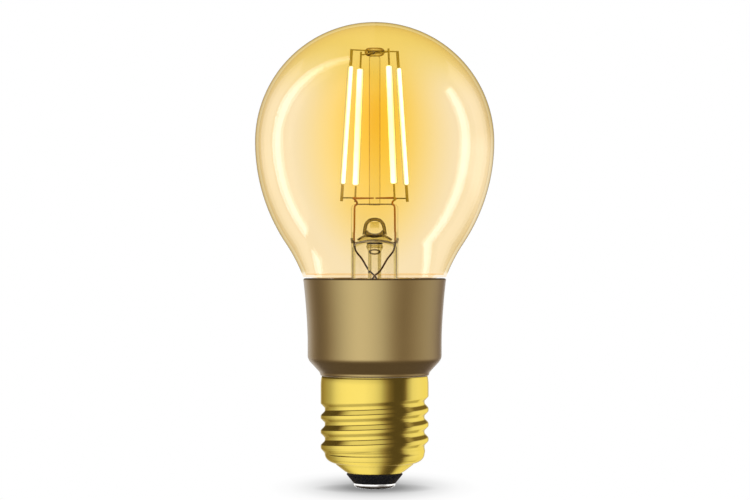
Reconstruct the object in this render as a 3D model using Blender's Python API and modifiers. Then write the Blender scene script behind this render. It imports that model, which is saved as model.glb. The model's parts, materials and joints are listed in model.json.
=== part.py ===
"""A smart filament light bulb: an E27 screw cap, a metal-finished collar that holds the driver and
the radio module, and a sealed glass bulb with four LED filaments on a glass stem.

Units are metres and +Z is up. The origin is the centre of the flat face of the centre contact, and
the axis of the bulb is the Z axis. The front of the bulb faces -Y. Nothing on a bulb moves: every
piece is fixed, and neighbours keep CLEARANCE between them.
"""

from math import acos, asin, atan2, cos, hypot, pi, radians, sin, sqrt

import bmesh
import bpy
from mathutils import Vector

MM = 0.001

# ---------------------------------------------------------------------------
# Sizes. Each one is written once, and every place is worked out from them.
# ---------------------------------------------------------------------------

CLEARANCE = 0.3 * MM
WIRE_CLEARANCE = 0.2 * MM
MERGE = 0.00001
FLAT_ANGLE = radians(0.2)
LARGE_STEPS = 32
SMALL_STEPS = 20

# Screw cap
CONTACT_HEIGHT = 1.4 * MM
CONTACT_RADIUS = 5.0 * MM
CONTACT_FACE_RADIUS = 3.9 * MM
CONTACT_STEM_RADIUS = 1.5 * MM
INSULATOR_HEIGHT = 2.0 * MM
INSULATOR_FOOT_RADIUS = 5.25 * MM
INSULATOR_FLANGE = 1.9 * MM
SHELL_WALL = 0.3 * MM
SHELL_MOUTH_RADIUS = 6.9 * MM
LOWER_CONE_HEIGHT = 2.2 * MM
LOWER_CONE_WIDTH = 2.6 * MM
CONE_STEP = 0.25 * MM
BOWL_HEIGHT = 2.5 * MM
THREAD_HEIGHT = 15.8 * MM
THREAD_CREST_RADIUS = 13.2 * MM
THREAD_DEPTH = 1.0 * MM
THREAD_PITCH = 3.629 * MM
THREAD_RUNOUT = 1.6 * MM
THREAD_LEAD_IN = 3.06 * MM
THREAD_ROWS_PER_PITCH = 6
BAND_HEIGHT = 2.9 * MM
BOWL_TURN = radians(75)
BOWL_STEPS = 5

# Collar
COLLAR_HEIGHT = 24.0 * MM
COLLAR_LIP_HEIGHT = 1.2 * MM
COLLAR_CHAMFER_HEIGHT = 3.8 * MM
COLLAR_STRAIGHT_HEIGHT = 3.6 * MM
COLLAR_STEP = 3.2 * MM
COLLAR_FLARE = 1.1 * MM
COLLAR_FLARE_POWER = 1.6
COLLAR_WALL = 0.6 * MM
SPIGOT_WALL = 0.8 * MM
LEDGE_WIDTH = 1.6 * MM
CEMENT_THICKNESS = 0.5 * MM
LINER_WALL = 0.6 * MM
WIRE_WINDOW = 2.1 * MM

# Glass bulb
GLASS_WALL = 0.8 * MM
BULB_RADIUS = 29.25 * MM
BELLY_RADIUS = 44.8 * MM
NECK_CURVE_RADIUS = 40.0 * MM
SHOULDER_HEIGHT = 3.8 * MM
NECK_LENGTH = 10.2 * MM
NECK_FILLET = 1.0 * MM

# Glass stem, from the flare to the bead
STEM_RADIUS = 5.8 * MM
STEM_WALL = 0.5 * MM
FLARE_HEIGHT = 8.0 * MM
CROWN_GAP = 5.45 * MM
PRESS_HEIGHT = 6.8 * MM
PRESS_THICKNESS = 3.2 * MM
PRESS_CORNER = 1.2 * MM
PINCH_HEIGHT = 2.0 * MM
PORT_RADIUS = 1.8 * MM
PORT_RIM = 0.8 * MM
PORT_DROP = 5.8 * MM
EXHAUST_RADIUS = 1.6 * MM
EXHAUST_WALL = 0.5 * MM
EXHAUST_TAIL = 1.2 * MM
ROD_RADIUS = 1.38 * MM
BEAD_RADIUS = 2.45 * MM
BEAD_HEIGHT = 2.0 * MM

# Filaments and their wires
FILAMENT_LENGTH = 28.9 * MM
FILAMENT_WIDTH = 1.65 * MM
FILAMENT_DEPTH = 1.4 * MM
FILAMENT_TOP_RADIUS = 6.83 * MM
FILAMENT_BOTTOM_RADIUS = 9.08 * MM
FILAMENT_TURN = radians(31)
TAB_WIDTH = 0.7 * MM
TAB_THICKNESS = 0.25 * MM
TAB_REACH = 3.58 * MM
TAB_OVERRUN = 0.3 * MM
WIRE_RADIUS = 0.2 * MM
WIRE_CROSSING = 0.62 * MM
ARM_RISE = 1.45 * MM
LEAD_RADIUS = 0.22 * MM
LEAD_SPREAD = 4.7 * MM
LEAD_EXIT_SPREAD = 4.3 * MM
LEAD_CROSSING = 0.6
WELD_RADIUS = 5.7 * MM

# Driver board and radio module
BOARD_THICKNESS = 1.0 * MM
BOARD_SETBACK = 2.0 * MM
BOARD_HEADROOM = 3.0 * MM
SOLDER_GAP = 0.15 * MM
PART_SPACING = 0.8 * MM
INPUT_CAPACITOR_RADIUS = 4.0 * MM
INPUT_CAPACITOR_LENGTH = 12.0 * MM
OUTPUT_CAPACITOR_RADIUS = 2.5 * MM
OUTPUT_CAPACITOR_LENGTH = 5.0 * MM
INDUCTOR_RADIUS = 3.5 * MM
INDUCTOR_LENGTH = 6.0 * MM
INDUCTOR_FLANGE = 0.9 * MM
INDUCTOR_CORE_RADIUS = 1.6 * MM
FUSE_RADIUS = 1.15 * MM
FUSE_LENGTH = 6.5 * MM
RECTIFIER_SIZE = (4.7 * MM, 2.4 * MM, 3.8 * MM)
DRIVER_CHIP_SIZE = (4.9 * MM, 1.5 * MM, 3.9 * MM)
REGULATOR_SIZE = (2.9 * MM, 1.2 * MM, 1.6 * MM)
MODULE_SIZE = (11.0 * MM, 0.8 * MM, 14.5 * MM)
MODULE_STANDOFF = 5.1 * MM
HEADER_SIZE = (10.0 * MM, 2.4 * MM)
SHIELD_SIZE = (9.0 * MM, 1.6 * MM, 8.2 * MM)
ANTENNA_WIRE_RADIUS = 0.12 * MM
ANTENNA_HEIGHT = 2.4 * MM
ANTENNA_FINGERS = 5
SUPPLY_WIRE_RADIUS = 0.4 * MM

# ---------------------------------------------------------------------------
# Levels and radii that follow from the sizes
# ---------------------------------------------------------------------------

INSULATOR_BOTTOM = CONTACT_HEIGHT + CLEARANCE
SHELL_BOTTOM = INSULATOR_BOTTOM + INSULATOR_HEIGHT
CONE_MIDDLE = SHELL_BOTTOM + LOWER_CONE_HEIGHT
THREAD_BOTTOM = CONE_MIDDLE + BOWL_HEIGHT
THREAD_TOP = THREAD_BOTTOM + THREAD_HEIGHT
SHELL_TOP = THREAD_TOP + BAND_HEIGHT
COLLAR_BOTTOM = SHELL_TOP + CLEARANCE
COLLAR_TOP = COLLAR_BOTTOM + COLLAR_HEIGHT
CHAMFER_BOTTOM = COLLAR_BOTTOM + COLLAR_LIP_HEIGHT
CHAMFER_TOP = CHAMFER_BOTTOM + COLLAR_CHAMFER_HEIGHT
FLARE_BOTTOM = CHAMFER_TOP + COLLAR_STRAIGHT_HEIGHT
GLASS_SEAT = COLLAR_TOP + CLEARANCE
NECK_BOTTOM = GLASS_SEAT - NECK_LENGTH
LEDGE_LEVEL = NECK_BOTTOM - CLEARANCE
BULB_CENTRE = GLASS_SEAT + SHOULDER_HEIGHT + BULB_RADIUS
BEAD_TOP = BULB_CENTRE + BULB_RADIUS - GLASS_WALL - CROWN_GAP
BEAD_BOTTOM = BEAD_TOP - BEAD_HEIGHT
TOP_WIRE_LEVEL = BEAD_BOTTOM + (BEAD_HEIGHT + WIRE_CROSSING) / 2
ARM_LEVEL = TOP_WIRE_LEVEL - FILAMENT_LENGTH - 2 * TAB_REACH
FILAMENT_MIDDLE = (ARM_LEVEL + TOP_WIRE_LEVEL) / 2
PRESS_TOP = ARM_LEVEL - ARM_RISE
PINCH_TOP = PRESS_TOP - PRESS_HEIGHT
PINCH_BOTTOM = PINCH_TOP - PINCH_HEIGHT
PORT_LEVEL = PRESS_TOP - PORT_DROP
ROD_BOTTOM = PRESS_TOP + CLEARANCE
ROD_TOP = BEAD_BOTTOM - CLEARANCE
LINER_TOP = THREAD_TOP + CLEARANCE - WIRE_WINDOW

THREAD_ROOT_RADIUS = THREAD_CREST_RADIUS - THREAD_DEPTH
SPIGOT_RADIUS = THREAD_CREST_RADIUS - SHELL_WALL - CLEARANCE
SPIGOT_BORE = SPIGOT_RADIUS - SPIGOT_WALL
COLLAR_RADIUS = THREAD_CREST_RADIUS + COLLAR_STEP
RIM_RADIUS = COLLAR_RADIUS + COLLAR_FLARE
SOCKET_RADIUS = COLLAR_RADIUS - COLLAR_WALL
CHAMBER_RADIUS = SOCKET_RADIUS - LEDGE_WIDTH
NECK_RADIUS = SOCKET_RADIUS - CEMENT_THICKNESS - 2 * CLEARANCE
FLARE_RIM_RADIUS = NECK_RADIUS - GLASS_WALL - CLEARANCE
STEM_BORE = STEM_RADIUS - STEM_WALL
LINER_RADIUS = min(SPIGOT_BORE, THREAD_ROOT_RADIUS - SHELL_WALL) - CLEARANCE
LINER_BORE = LINER_RADIUS - LINER_WALL
BOARD_FRONT = BOARD_SETBACK - BOARD_THICKNESS / 2
BOARD_BACK = BOARD_SETBACK + BOARD_THICKNESS / 2
BOARD_BOTTOM = THREAD_BOTTOM + PART_SPACING
BOARD_TOP = NECK_BOTTOM - BOARD_HEADROOM
BOARD_SHOULDER = CHAMFER_TOP + CLEARANCE


# ---------------------------------------------------------------------------
# Scene, materials and modelling helpers
# ---------------------------------------------------------------------------


def clear_scene():
    for old in list(bpy.data.objects):
        bpy.data.objects.remove(old, do_unlink=True)


def new_collection(name):
    made = bpy.data.collections.new(name)
    bpy.context.scene.collection.children.link(made)
    return made


def new_material(name, colour, roughness, metallic=0.0, transmission=0.0):
    made = bpy.data.materials.new(name)
    made.use_nodes = True
    shader = made.node_tree.nodes["Principled BSDF"]
    shader.inputs["Base Color"].default_value = (*colour, 1.0)
    shader.inputs["Roughness"].default_value = roughness
    shader.inputs["Metallic"].default_value = metallic
    shader.inputs["Transmission Weight"].default_value = transmission
    return made


clear_scene()
PARTS = new_collection("smart_light_bulb")
CUTTERS = new_collection("cutters")

AMBER_GLASS = new_material("amber_glass", (1.0, 0.80, 0.42), 0.05, transmission=1.0)
CLEAR_GLASS = new_material("clear_glass", (0.96, 0.95, 0.88), 0.05, transmission=1.0)
BRASS = new_material("brass", (0.89, 0.68, 0.22), 0.25, metallic=1.0)
SATIN_CHAMPAGNE = new_material("satin_champagne", (0.42, 0.34, 0.21), 0.38, metallic=0.7)
BLACK_GLASS = new_material("black_glass", (0.012, 0.013, 0.017), 0.2)
TINNED_METAL = new_material("tinned_metal", (0.80, 0.80, 0.78), 0.25, metallic=1.0)
WHITE_CEMENT = new_material("white_cement", (0.82, 0.80, 0.75), 0.8)
WHITE_PLASTIC = new_material("white_plastic", (0.85, 0.85, 0.82), 0.5)
PHOSPHOR = new_material("phosphor", (1.0, 0.82, 0.35), 0.45)
NICKEL_IRON = new_material("nickel_iron", (0.45, 0.38, 0.22), 0.35, metallic=1.0)
COPPER = new_material("copper_clad", (0.72, 0.33, 0.14), 0.35, metallic=1.0)
BOARD_GREEN = new_material("board_green", (0.03, 0.20, 0.08), 0.45)
BLACK_PLASTIC = new_material("black_plastic", (0.02, 0.02, 0.02), 0.5)
CAN_SLEEVE = new_material("can_sleeve", (0.05, 0.07, 0.12), 0.35)
FERRITE = new_material("ferrite", (0.07, 0.07, 0.075), 0.7)
RESISTOR_GREEN = new_material("resistor_green", (0.10, 0.28, 0.22), 0.5)
WIRE_WHITE = new_material("wire_white", (0.85, 0.85, 0.85), 0.4)
WIRE_BLACK = new_material("wire_black", (0.02, 0.02, 0.02), 0.4)


def add(name, data, look, collection=PARTS):
    piece = bpy.data.objects.new(name, data)
    if look is not None:
        data.materials.append(look)
    collection.objects.link(piece)
    if collection is CUTTERS:
        piece.hide_render = True
        piece.display_type = "WIRE"
    return piece


def turned(name, profile, look, steps=LARGE_STEPS, centre=(0, 0), loop=True):
    """Turn (radius, height) points about a vertical axis. The outer side runs from top to bottom.

    A loop is a ring's section. Without it the profile starts and ends on the axis or is an open
    surface that gets its wall from a Solidify modifier.
    """
    count = len(profile)
    edges = [(i, i + 1) for i in range(count - 1)]
    if loop:
        edges.append((count - 1, 0))
    mesh = bpy.data.meshes.new(name)
    mesh.from_pydata([(radius, 0, height) for radius, height in profile], edges, [])
    piece = add(name, mesh, look)
    piece.location = (*centre, 0)
    screw = piece.modifiers.new("Turn", "SCREW")
    screw.steps = steps
    screw.render_steps = steps
    screw.use_merge_vertices = True
    screw.merge_threshold = MERGE
    screw.use_smooth_shade = True
    return piece


def wall(piece, thickness):
    """Give an open surface a wall that lies on its inner side."""
    solidify = piece.modifiers.new("Wall", "SOLIDIFY")
    solidify.thickness = thickness
    solidify.offset = -1
    solidify.use_even_offset = True
    return piece


def made_mesh(piece):
    """The mesh that a piece's curve or modifiers make, with its loose caps welded on."""
    graph = bpy.context.evaluated_depsgraph_get()
    mesh = bpy.data.meshes.new_from_object(piece.evaluated_get(graph))
    shape = bmesh.new()
    shape.from_mesh(mesh)
    bmesh.ops.remove_doubles(shape, verts=shape.verts, dist=MERGE)
    shape.to_mesh(mesh)
    shape.free()
    return mesh


def reshape(piece, move):
    """Apply a piece's modifiers, move each of its points with the function move, then join the
    faces that this made flat."""
    mesh = made_mesh(piece)
    piece.modifiers.clear()
    piece.data = mesh
    for vertex in mesh.vertices:
        vertex.co = move(vertex.co)
    shape = bmesh.new()
    shape.from_mesh(mesh)
    bmesh.ops.dissolve_limit(
        shape, angle_limit=FLAT_ANGLE, verts=shape.verts, edges=shape.edges, delimit={"MATERIAL"}
    )
    shape.to_mesh(mesh)
    shape.free()


def combine(piece, helper, operation="DIFFERENCE"):
    boolean = piece.modifiers.new(helper.name, "BOOLEAN")
    boolean.operation = operation
    boolean.object = helper


def arc(centre, radius, start, end, steps):
    """Points on a circle in the (radius, height) plane, from one angle to the other."""
    turn = [start + (end - start) * i / steps for i in range(steps + 1)]
    return [(centre[0] + radius * cos(a), centre[1] + radius * sin(a)) for a in turn]


def smooth_path(points, steps=4):
    """A Catmull-Rom curve through the points, as a list of places."""
    points = [Vector(p) for p in points]
    ends = [2 * points[0] - points[1], *points, 2 * points[-1] - points[-2]]
    path = []
    for a, b, c, d in zip(ends, ends[1:], ends[2:], ends[3:]):
        for i in range(steps):
            t = i / steps
            bend = (2 * a - 5 * b + 4 * c - d) * t * t + (3 * b - a - 3 * c + d) * t * t * t
            path.append((2 * b + (c - a) * t + bend) / 2)
    return [*path, points[-1]]


def wire(name, path, radius, look):
    """A round wire along a list of places, with closed ends."""
    curve = bpy.data.curves.new(name, "CURVE")
    curve.dimensions = "3D"
    curve.bevel_depth = radius
    curve.bevel_resolution = 2
    curve.use_fill_caps = True
    spline = curve.splines.new("POLY")
    spline.points.add(len(path) - 1)
    for point, place in zip(spline.points, path):
        point.co = (*place, 1)
    return add(name, curve, look)


def wire_cutter(name, path, radius):
    """A mesh that cuts a wire's hole."""
    guide = wire(name + "_guide", path, radius, None)
    cutter = add(name, made_mesh(guide), None, CUTTERS)
    bpy.data.objects.remove(guide, do_unlink=True)
    return cutter


def cylinder_helper(name, radius, depth, centre):
    """A cylinder along Y, for a bore or a boss."""
    shape = bmesh.new()
    bmesh.ops.create_cone(
        shape, cap_ends=True, segments=SMALL_STEPS, radius1=radius, radius2=radius, depth=depth
    )
    mesh = bpy.data.meshes.new(name)
    shape.to_mesh(mesh)
    shape.free()
    helper = add(name, mesh, None, CUTTERS)
    helper.rotation_euler = (pi / 2, 0, 0)
    helper.location = centre
    return helper


def block(name, centre, size, look, bevel=0.0, parent=None):
    """A box with its edges rounded by a bevel."""
    shape = bmesh.new()
    bmesh.ops.create_cube(shape, size=1)
    bmesh.ops.scale(shape, vec=size, verts=shape.verts)
    mesh = bpy.data.meshes.new(name)
    shape.to_mesh(mesh)
    shape.free()
    piece = add(name, mesh, look)
    piece.location = centre
    piece.parent = parent
    if bevel:
        rounding = piece.modifiers.new("Rounding", "BEVEL")
        rounding.width = bevel
        rounding.segments = 1
    return piece


def plate(name, outline, thickness, middle, look):
    """A flat plate in the XZ plane, from the corners of its outline."""
    curve = bpy.data.curves.new(name, "CURVE")
    curve.dimensions = "2D"
    curve.fill_mode = "BOTH"
    curve.extrude = thickness / 2
    spline = curve.splines.new("POLY")
    spline.points.add(len(outline) - 1)
    for point, (x, z) in zip(spline.points, outline):
        point.co = (x, z, 0, 1)
    spline.use_cyclic_u = True
    piece = add(name, curve, look)
    piece.rotation_euler = (pi / 2, 0, 0)
    piece.location = (0, middle, 0)
    return piece


def ease(share):
    """A smooth step from 0 to 1."""
    share = min(1, max(0, share))
    return share * share * (3 - 2 * share)


# ---------------------------------------------------------------------------
# Screw cap
# ---------------------------------------------------------------------------


def centre_contact():
    """The tinned eyelet, whose stem goes up through the insulator to the live wire."""
    stem_top = SHELL_BOTTOM + INSULATOR_FLANGE + CLEARANCE
    profile = [
        (0, stem_top),
        (CONTACT_STEM_RADIUS, stem_top),
        (CONTACT_STEM_RADIUS, CONTACT_HEIGHT),
        (CONTACT_RADIUS, CONTACT_HEIGHT),
        (CONTACT_RADIUS, CONTACT_HEIGHT * 0.75),
        ((CONTACT_RADIUS * 2 + CONTACT_FACE_RADIUS) / 3, CONTACT_HEIGHT * 0.3),
        (CONTACT_FACE_RADIUS, 0),
        (0, 0),
    ]
    turned("centre_contact", profile, TINNED_METAL, loop=False)


def contact_insulator():
    """The black glass ring between the contact and the brass, moulded round the brass edge."""
    bore = CONTACT_STEM_RADIUS + CLEARANCE
    throat = SHELL_MOUTH_RADIUS - SHELL_WALL - CLEARANCE
    foot = min(INSULATOR_FOOT_RADIUS, throat)
    flange_top = SHELL_BOTTOM + INSULATOR_FLANGE
    flange_bottom = (SHELL_BOTTOM + flange_top) / 2
    slope = LOWER_CONE_WIDTH / LOWER_CONE_HEIGHT
    flange = throat + (flange_bottom - SHELL_BOTTOM) * slope - CLEARANCE
    rest = SHELL_BOTTOM - CLEARANCE
    profile = [
        (bore, flange_top),
        (flange, flange_top),
        (flange, flange_bottom),
        (throat, SHELL_BOTTOM + CLEARANCE / 2),
        (throat, rest),
        (SHELL_MOUTH_RADIUS - CLEARANCE / 2, rest),
        (foot, INSULATOR_BOTTOM),
        (bore, INSULATOR_BOTTOM),
    ]
    turned("contact_insulator", profile, BLACK_GLASS)


def thread_groove(angle, height):
    """How deep the rolled groove is at a place on the shell. It is right-handed. The first groove
    comes in at the back and is whole at the +X side, where its middle lies THREAD_LEAD_IN below the
    top of the thread. The last one fades out towards the bottom."""
    first = THREAD_TOP - THREAD_LEAD_IN + THREAD_PITCH * angle / (2 * pi)
    middle = first + THREAD_PITCH * round((height - first) / THREAD_PITCH)
    wave = cos(2 * pi * (height - middle) / THREAD_PITCH)
    fade_up = ease((THREAD_TOP - THREAD_RUNOUT - middle) / THREAD_RUNOUT)
    fade_down = ease((middle - THREAD_BOTTOM) / THREAD_RUNOUT)
    return THREAD_DEPTH * (1 + wave) / 2 * fade_up * fade_down


def screw_shell():
    """The brass shell: a smooth band, the rolled thread, a bowl, and a cone down to the contact."""
    crest = THREAD_CREST_RADIUS
    root = crest - THREAD_DEPTH
    step_radius = SHELL_MOUTH_RADIUS + LOWER_CONE_WIDTH
    bowl_width = (root - step_radius - CONE_STEP) / (1 - cos(BOWL_TURN))
    bowl_depth = (THREAD_BOTTOM - CONE_MIDDLE - CONE_STEP) / sin(BOWL_TURN)
    rows = round(THREAD_HEIGHT / THREAD_PITCH * THREAD_ROWS_PER_PITCH)
    profile = [(crest, SHELL_TOP)]
    for i in range(rows + 1):
        height = THREAD_TOP - THREAD_HEIGHT * i / rows
        tuck = 1 - ease((height - THREAD_BOTTOM) / THREAD_RUNOUT)
        profile.append((crest - THREAD_DEPTH * tuck, height))
    for i in range(1, BOWL_STEPS + 1):
        turn = BOWL_TURN * i / BOWL_STEPS
        inward, down = bowl_width * (1 - cos(turn)), bowl_depth * sin(turn)
        profile.append((root - inward, THREAD_BOTTOM - down))
    profile += [
        (step_radius, CONE_MIDDLE),
        (SHELL_MOUTH_RADIUS, SHELL_BOTTOM),
    ]
    piece = turned("screw_shell", profile, BRASS, loop=False)

    def roll(place):
        angle = atan2(place.y, place.x)
        radius = hypot(place.x, place.y) - thread_groove(angle, place.z)
        return Vector((radius * cos(angle), radius * sin(angle), place.z))

    reshape(piece, roll)
    wall(piece, SHELL_WALL)


# ---------------------------------------------------------------------------
# Collar, liner and cement
# ---------------------------------------------------------------------------


def collar_outline():
    """The collar's outer side, from the rim down to the lip that meets the brass."""
    flare_height = COLLAR_TOP - FLARE_BOTTOM
    outline = []
    for i in range(6):
        share = 1 - i / 5
        radius = COLLAR_RADIUS + COLLAR_FLARE * share**COLLAR_FLARE_POWER
        outline.append((radius, FLARE_BOTTOM + flare_height * share))
    shoulder = COLLAR_CHAMFER_HEIGHT * 0.4
    outline += [
        (COLLAR_RADIUS, CHAMFER_TOP),
        (COLLAR_RADIUS - shoulder * 0.16, CHAMFER_TOP - shoulder * 0.5),
        (COLLAR_RADIUS - shoulder * 0.48, CHAMFER_TOP - shoulder),
        (THREAD_CREST_RADIUS + CLEARANCE, CHAMFER_BOTTOM + CLEARANCE / 2),
        (THREAD_CREST_RADIUS, CHAMFER_BOTTOM - CLEARANCE / 2),
        (THREAD_CREST_RADIUS, COLLAR_BOTTOM),
    ]
    return outline


def collar_housing():
    """The collar, with a socket for the glass neck, a chamber for the radio and a spigot that
    plugs into the brass shell."""
    spigot_bottom = THREAD_TOP + CLEARANCE
    floor = CHAMFER_BOTTOM + SPIGOT_WALL
    inside = [
        (SPIGOT_RADIUS, COLLAR_BOTTOM),
        (SPIGOT_RADIUS, spigot_bottom),
        (SPIGOT_BORE, spigot_bottom),
        (SPIGOT_BORE, floor),
        (CHAMBER_RADIUS, CHAMFER_TOP),
        (CHAMBER_RADIUS, LEDGE_LEVEL),
        (SOCKET_RADIUS, LEDGE_LEVEL),
        (SOCKET_RADIUS, COLLAR_TOP),
    ]
    turned("collar_housing", collar_outline() + inside, SATIN_CHAMPAGNE)


def driver_liner():
    """The plastic sleeve that keeps the driver board off the brass."""
    profile = [
        (LINER_RADIUS, LINER_TOP),
        (LINER_RADIUS, THREAD_BOTTOM),
        (LINER_BORE, THREAD_BOTTOM),
        (LINER_BORE, LINER_TOP),
    ]
    turned("driver_liner", profile, WHITE_PLASTIC)


def neck_cement():
    """The cement that holds the glass neck in the collar."""
    outer = SOCKET_RADIUS - CLEARANCE
    inner = NECK_RADIUS + CLEARANCE
    bottom = LEDGE_LEVEL + CLEARANCE
    top = GLASS_SEAT - NECK_FILLET - CLEARANCE
    profile = [(outer, top), (outer, bottom), (inner, bottom), (inner, top)]
    turned("neck_cement", profile, WHITE_CEMENT)


# ---------------------------------------------------------------------------
# Glass
# ---------------------------------------------------------------------------


def neck_curve_centre(belly_centre):
    """The centre of the hollow curve that touches the belly and ends at the collar's rim."""
    across = RIM_RADIUS - belly_centre[0]
    down = GLASS_SEAT - belly_centre[1]
    reach = hypot(across, down)
    centres = BELLY_RADIUS + NECK_CURVE_RADIUS
    along = (centres**2 - NECK_CURVE_RADIUS**2 + reach**2) / (2 * reach)
    aside = sqrt(centres**2 - along**2)
    across, down = across / reach, down / reach
    return (
        belly_centre[0] + along * across - aside * down,
        belly_centre[1] + along * down + aside * across,
    )


def glass_outline():
    """The glass from its crown down to the end of its neck: a round dome, a flatter belly, a
    hollow curve to the collar's rim, and a straight neck inside the collar."""
    belly = (BULB_RADIUS - BELLY_RADIUS, BULB_CENTRE)
    neck = neck_curve_centre(belly)
    tilt = acos((neck[0] - belly[0]) / (BELLY_RADIUS + NECK_CURVE_RADIUS))
    drop = asin((GLASS_SEAT - neck[1]) / NECK_CURVE_RADIUS)
    dome = arc((0, BULB_CENTRE), BULB_RADIUS, pi / 2, 0, 9)
    flank = arc(belly, BELLY_RADIUS, 0, -tilt, 4)
    hollow = arc(neck, NECK_CURVE_RADIUS, pi - tilt, pi - drop, 4)
    fillet = arc(
        (NECK_RADIUS + NECK_FILLET, GLASS_SEAT - NECK_FILLET), NECK_FILLET, pi / 2, pi, 2
    )
    end = [(NECK_RADIUS, NECK_BOTTOM)]
    return dome + flank[1:] + hollow[1:] + fillet + end


def glass_envelope():
    wall(turned("glass_envelope", glass_outline(), AMBER_GLASS, loop=False), GLASS_WALL)


def flare_curve(bore, rim_level):
    """The stem's quarter-oval sweep from its tube out to the flare's rim."""
    top = rim_level + FLARE_HEIGHT
    sweep = []
    for i in range(6):
        turn = pi / 2 * i / 5
        radius = FLARE_RIM_RADIUS - (FLARE_RIM_RADIUS - bore) * cos(turn)
        sweep.append((radius, top - FLARE_HEIGHT * sin(turn)))
    return sweep


def lead_hole_path(side):
    """The places along a lead's hole through the press, from above its top into the tube."""
    crown = PRESS_TOP - PRESS_CORNER
    cavity = PINCH_BOTTOM - LEAD_SPREAD / 2
    return [
        Vector((side * LEAD_EXIT_SPREAD, 0, PRESS_TOP + 2 * LEAD_RADIUS)),
        Vector((side * LEAD_EXIT_SPREAD, 0, PRESS_TOP - LEAD_RADIUS)),
        Vector((side * LEAD_SPREAD, 0, crown)),
        Vector((side * LEAD_SPREAD, 0, cavity)),
    ]


def lead_path(side):
    """The places along a lead wire, from its weld down to the driver board. The right lead passes
    in front of the exhaust tube and the left one behind it."""
    around = EXHAUST_RADIUS + CLEARANCE + 2 * LEAD_RADIUS
    through_press = lead_hole_path(side)
    crown, cavity = through_press[2].z, through_press[3].z
    crossing = NECK_BOTTOM + (cavity - NECK_BOTTOM) * LEAD_CROSSING
    weld = (side * WELD_RADIUS * cos(FILAMENT_TURN), side * WELD_RADIUS * sin(FILAMENT_TURN))
    pad = BOARD_SETBACK - side * (BOARD_THICKNESS / 2 + SOLDER_GAP + LEAD_RADIUS)
    drop = crossing - NECK_BOTTOM
    return smooth_path(
        [
            (weld[0], weld[1], ARM_LEVEL - WIRE_RADIUS - LEAD_RADIUS - WIRE_CLEARANCE),
            *through_press[:3],
            (side * LEAD_SPREAD, 0, (crown + cavity) / 2),
            through_press[3],
            (side * LEAD_SPREAD * 0.66, -side * around * 0.6, (2 * cavity + crossing) / 3),
            (side * LEAD_SPREAD * 0.30, -side * around, (cavity + 3 * crossing) / 4),
            (-side * LEAD_SPREAD * 0.06, -side * around, crossing),
            (-side * LEAD_SPREAD * 0.24, -side * around, crossing - drop / 4),
            (-side * LEAD_SPREAD * 0.24, -side * around, NECK_BOTTOM + drop / 8),
            (-side * LEAD_SPREAD * 0.24, pad, BOARD_TOP + BOARD_HEADROOM / 4),
            (-side * LEAD_SPREAD * 0.24, pad, BOARD_TOP - PART_SPACING),
        ],
        steps=2,
    )


def glass_stem():
    """The flare tube with its pinched press. The leads go through the press, and the exhaust port
    is the round hole with a raised rim."""
    rim = NECK_BOTTOM + STEM_WALL
    outer = flare_curve(STEM_RADIUS, rim)
    inner = flare_curve(STEM_BORE, rim - STEM_WALL)
    ceiling = PINCH_BOTTOM - CLEARANCE / 2
    vault = STEM_BORE * 0.3
    pinch_rows = 4
    profile = [(0, PRESS_TOP)]
    corner = (STEM_RADIUS - PRESS_CORNER, PRESS_TOP - PRESS_CORNER)
    profile += arc(corner, PRESS_CORNER, pi / 2, 0, 3)
    for i in range(pinch_rows + 1):
        profile.append((STEM_RADIUS, PINCH_TOP - PINCH_HEIGHT * i / pinch_rows))
    profile += outer + inner[::-1]
    profile += [
        (STEM_BORE, ceiling - vault),
        (STEM_BORE * 0.85, ceiling - vault * 0.4),
        (STEM_BORE * 0.5, ceiling),
        (0, ceiling),
    ]
    piece = turned("glass_stem", profile, CLEAR_GLASS, loop=False)
    half = PRESS_THICKNESS / 2

    def pinch(place):
        share = ease((place.z - PINCH_BOTTOM) / PINCH_HEIGHT)
        limit = STEM_RADIUS + (half - STEM_RADIUS) * share
        return Vector((place.x, min(limit, max(-limit, place.y)), place.z))

    reshape(piece, pinch)
    port = (0, 0, PORT_LEVEL)
    rim_length = PRESS_THICKNESS + PORT_RIM
    combine(piece, cylinder_helper("port_rim", PORT_RADIUS + PORT_RIM, rim_length, port), "UNION")
    combine(piece, cylinder_helper("port_bore", PORT_RADIUS, 2 * rim_length, port))
    for side, label in ((-1, "left"), (1, "right")):
        hole = wire_cutter("lead_hole_" + label, lead_hole_path(side), LEAD_RADIUS + WIRE_CLEARANCE)
        combine(piece, hole)


def exhaust_tube():
    """The thin tube in the middle of the stem, open at the press and sealed off at its tail."""
    top = PINCH_BOTTOM - 2 * CLEARANCE
    bore = EXHAUST_RADIUS - EXHAUST_WALL
    tail = NECK_BOTTOM - EXHAUST_TAIL
    trumpet = EXHAUST_RADIUS + EXHAUST_WALL
    profile = [
        (0, tail + EXHAUST_RADIUS),
        (bore, tail + 2 * EXHAUST_RADIUS),
        (bore, top),
        (EXHAUST_RADIUS, top),
        (trumpet, top - EXHAUST_WALL * 2),
        (EXHAUST_RADIUS, top - EXHAUST_WALL * 4),
        (EXHAUST_RADIUS, tail + EXHAUST_RADIUS),
        (EXHAUST_RADIUS * 0.6, tail + EXHAUST_RADIUS * 0.3),
        (0, tail),
    ]
    turned("exhaust_tube", profile, CLEAR_GLASS, steps=SMALL_STEPS, loop=False)


def support_rod():
    profile = [(0, ROD_TOP), (ROD_RADIUS, ROD_TOP), (ROD_RADIUS, ROD_BOTTOM), (0, ROD_BOTTOM)]
    turned("support_rod", profile, CLEAR_GLASS, steps=SMALL_STEPS, loop=False)


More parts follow.
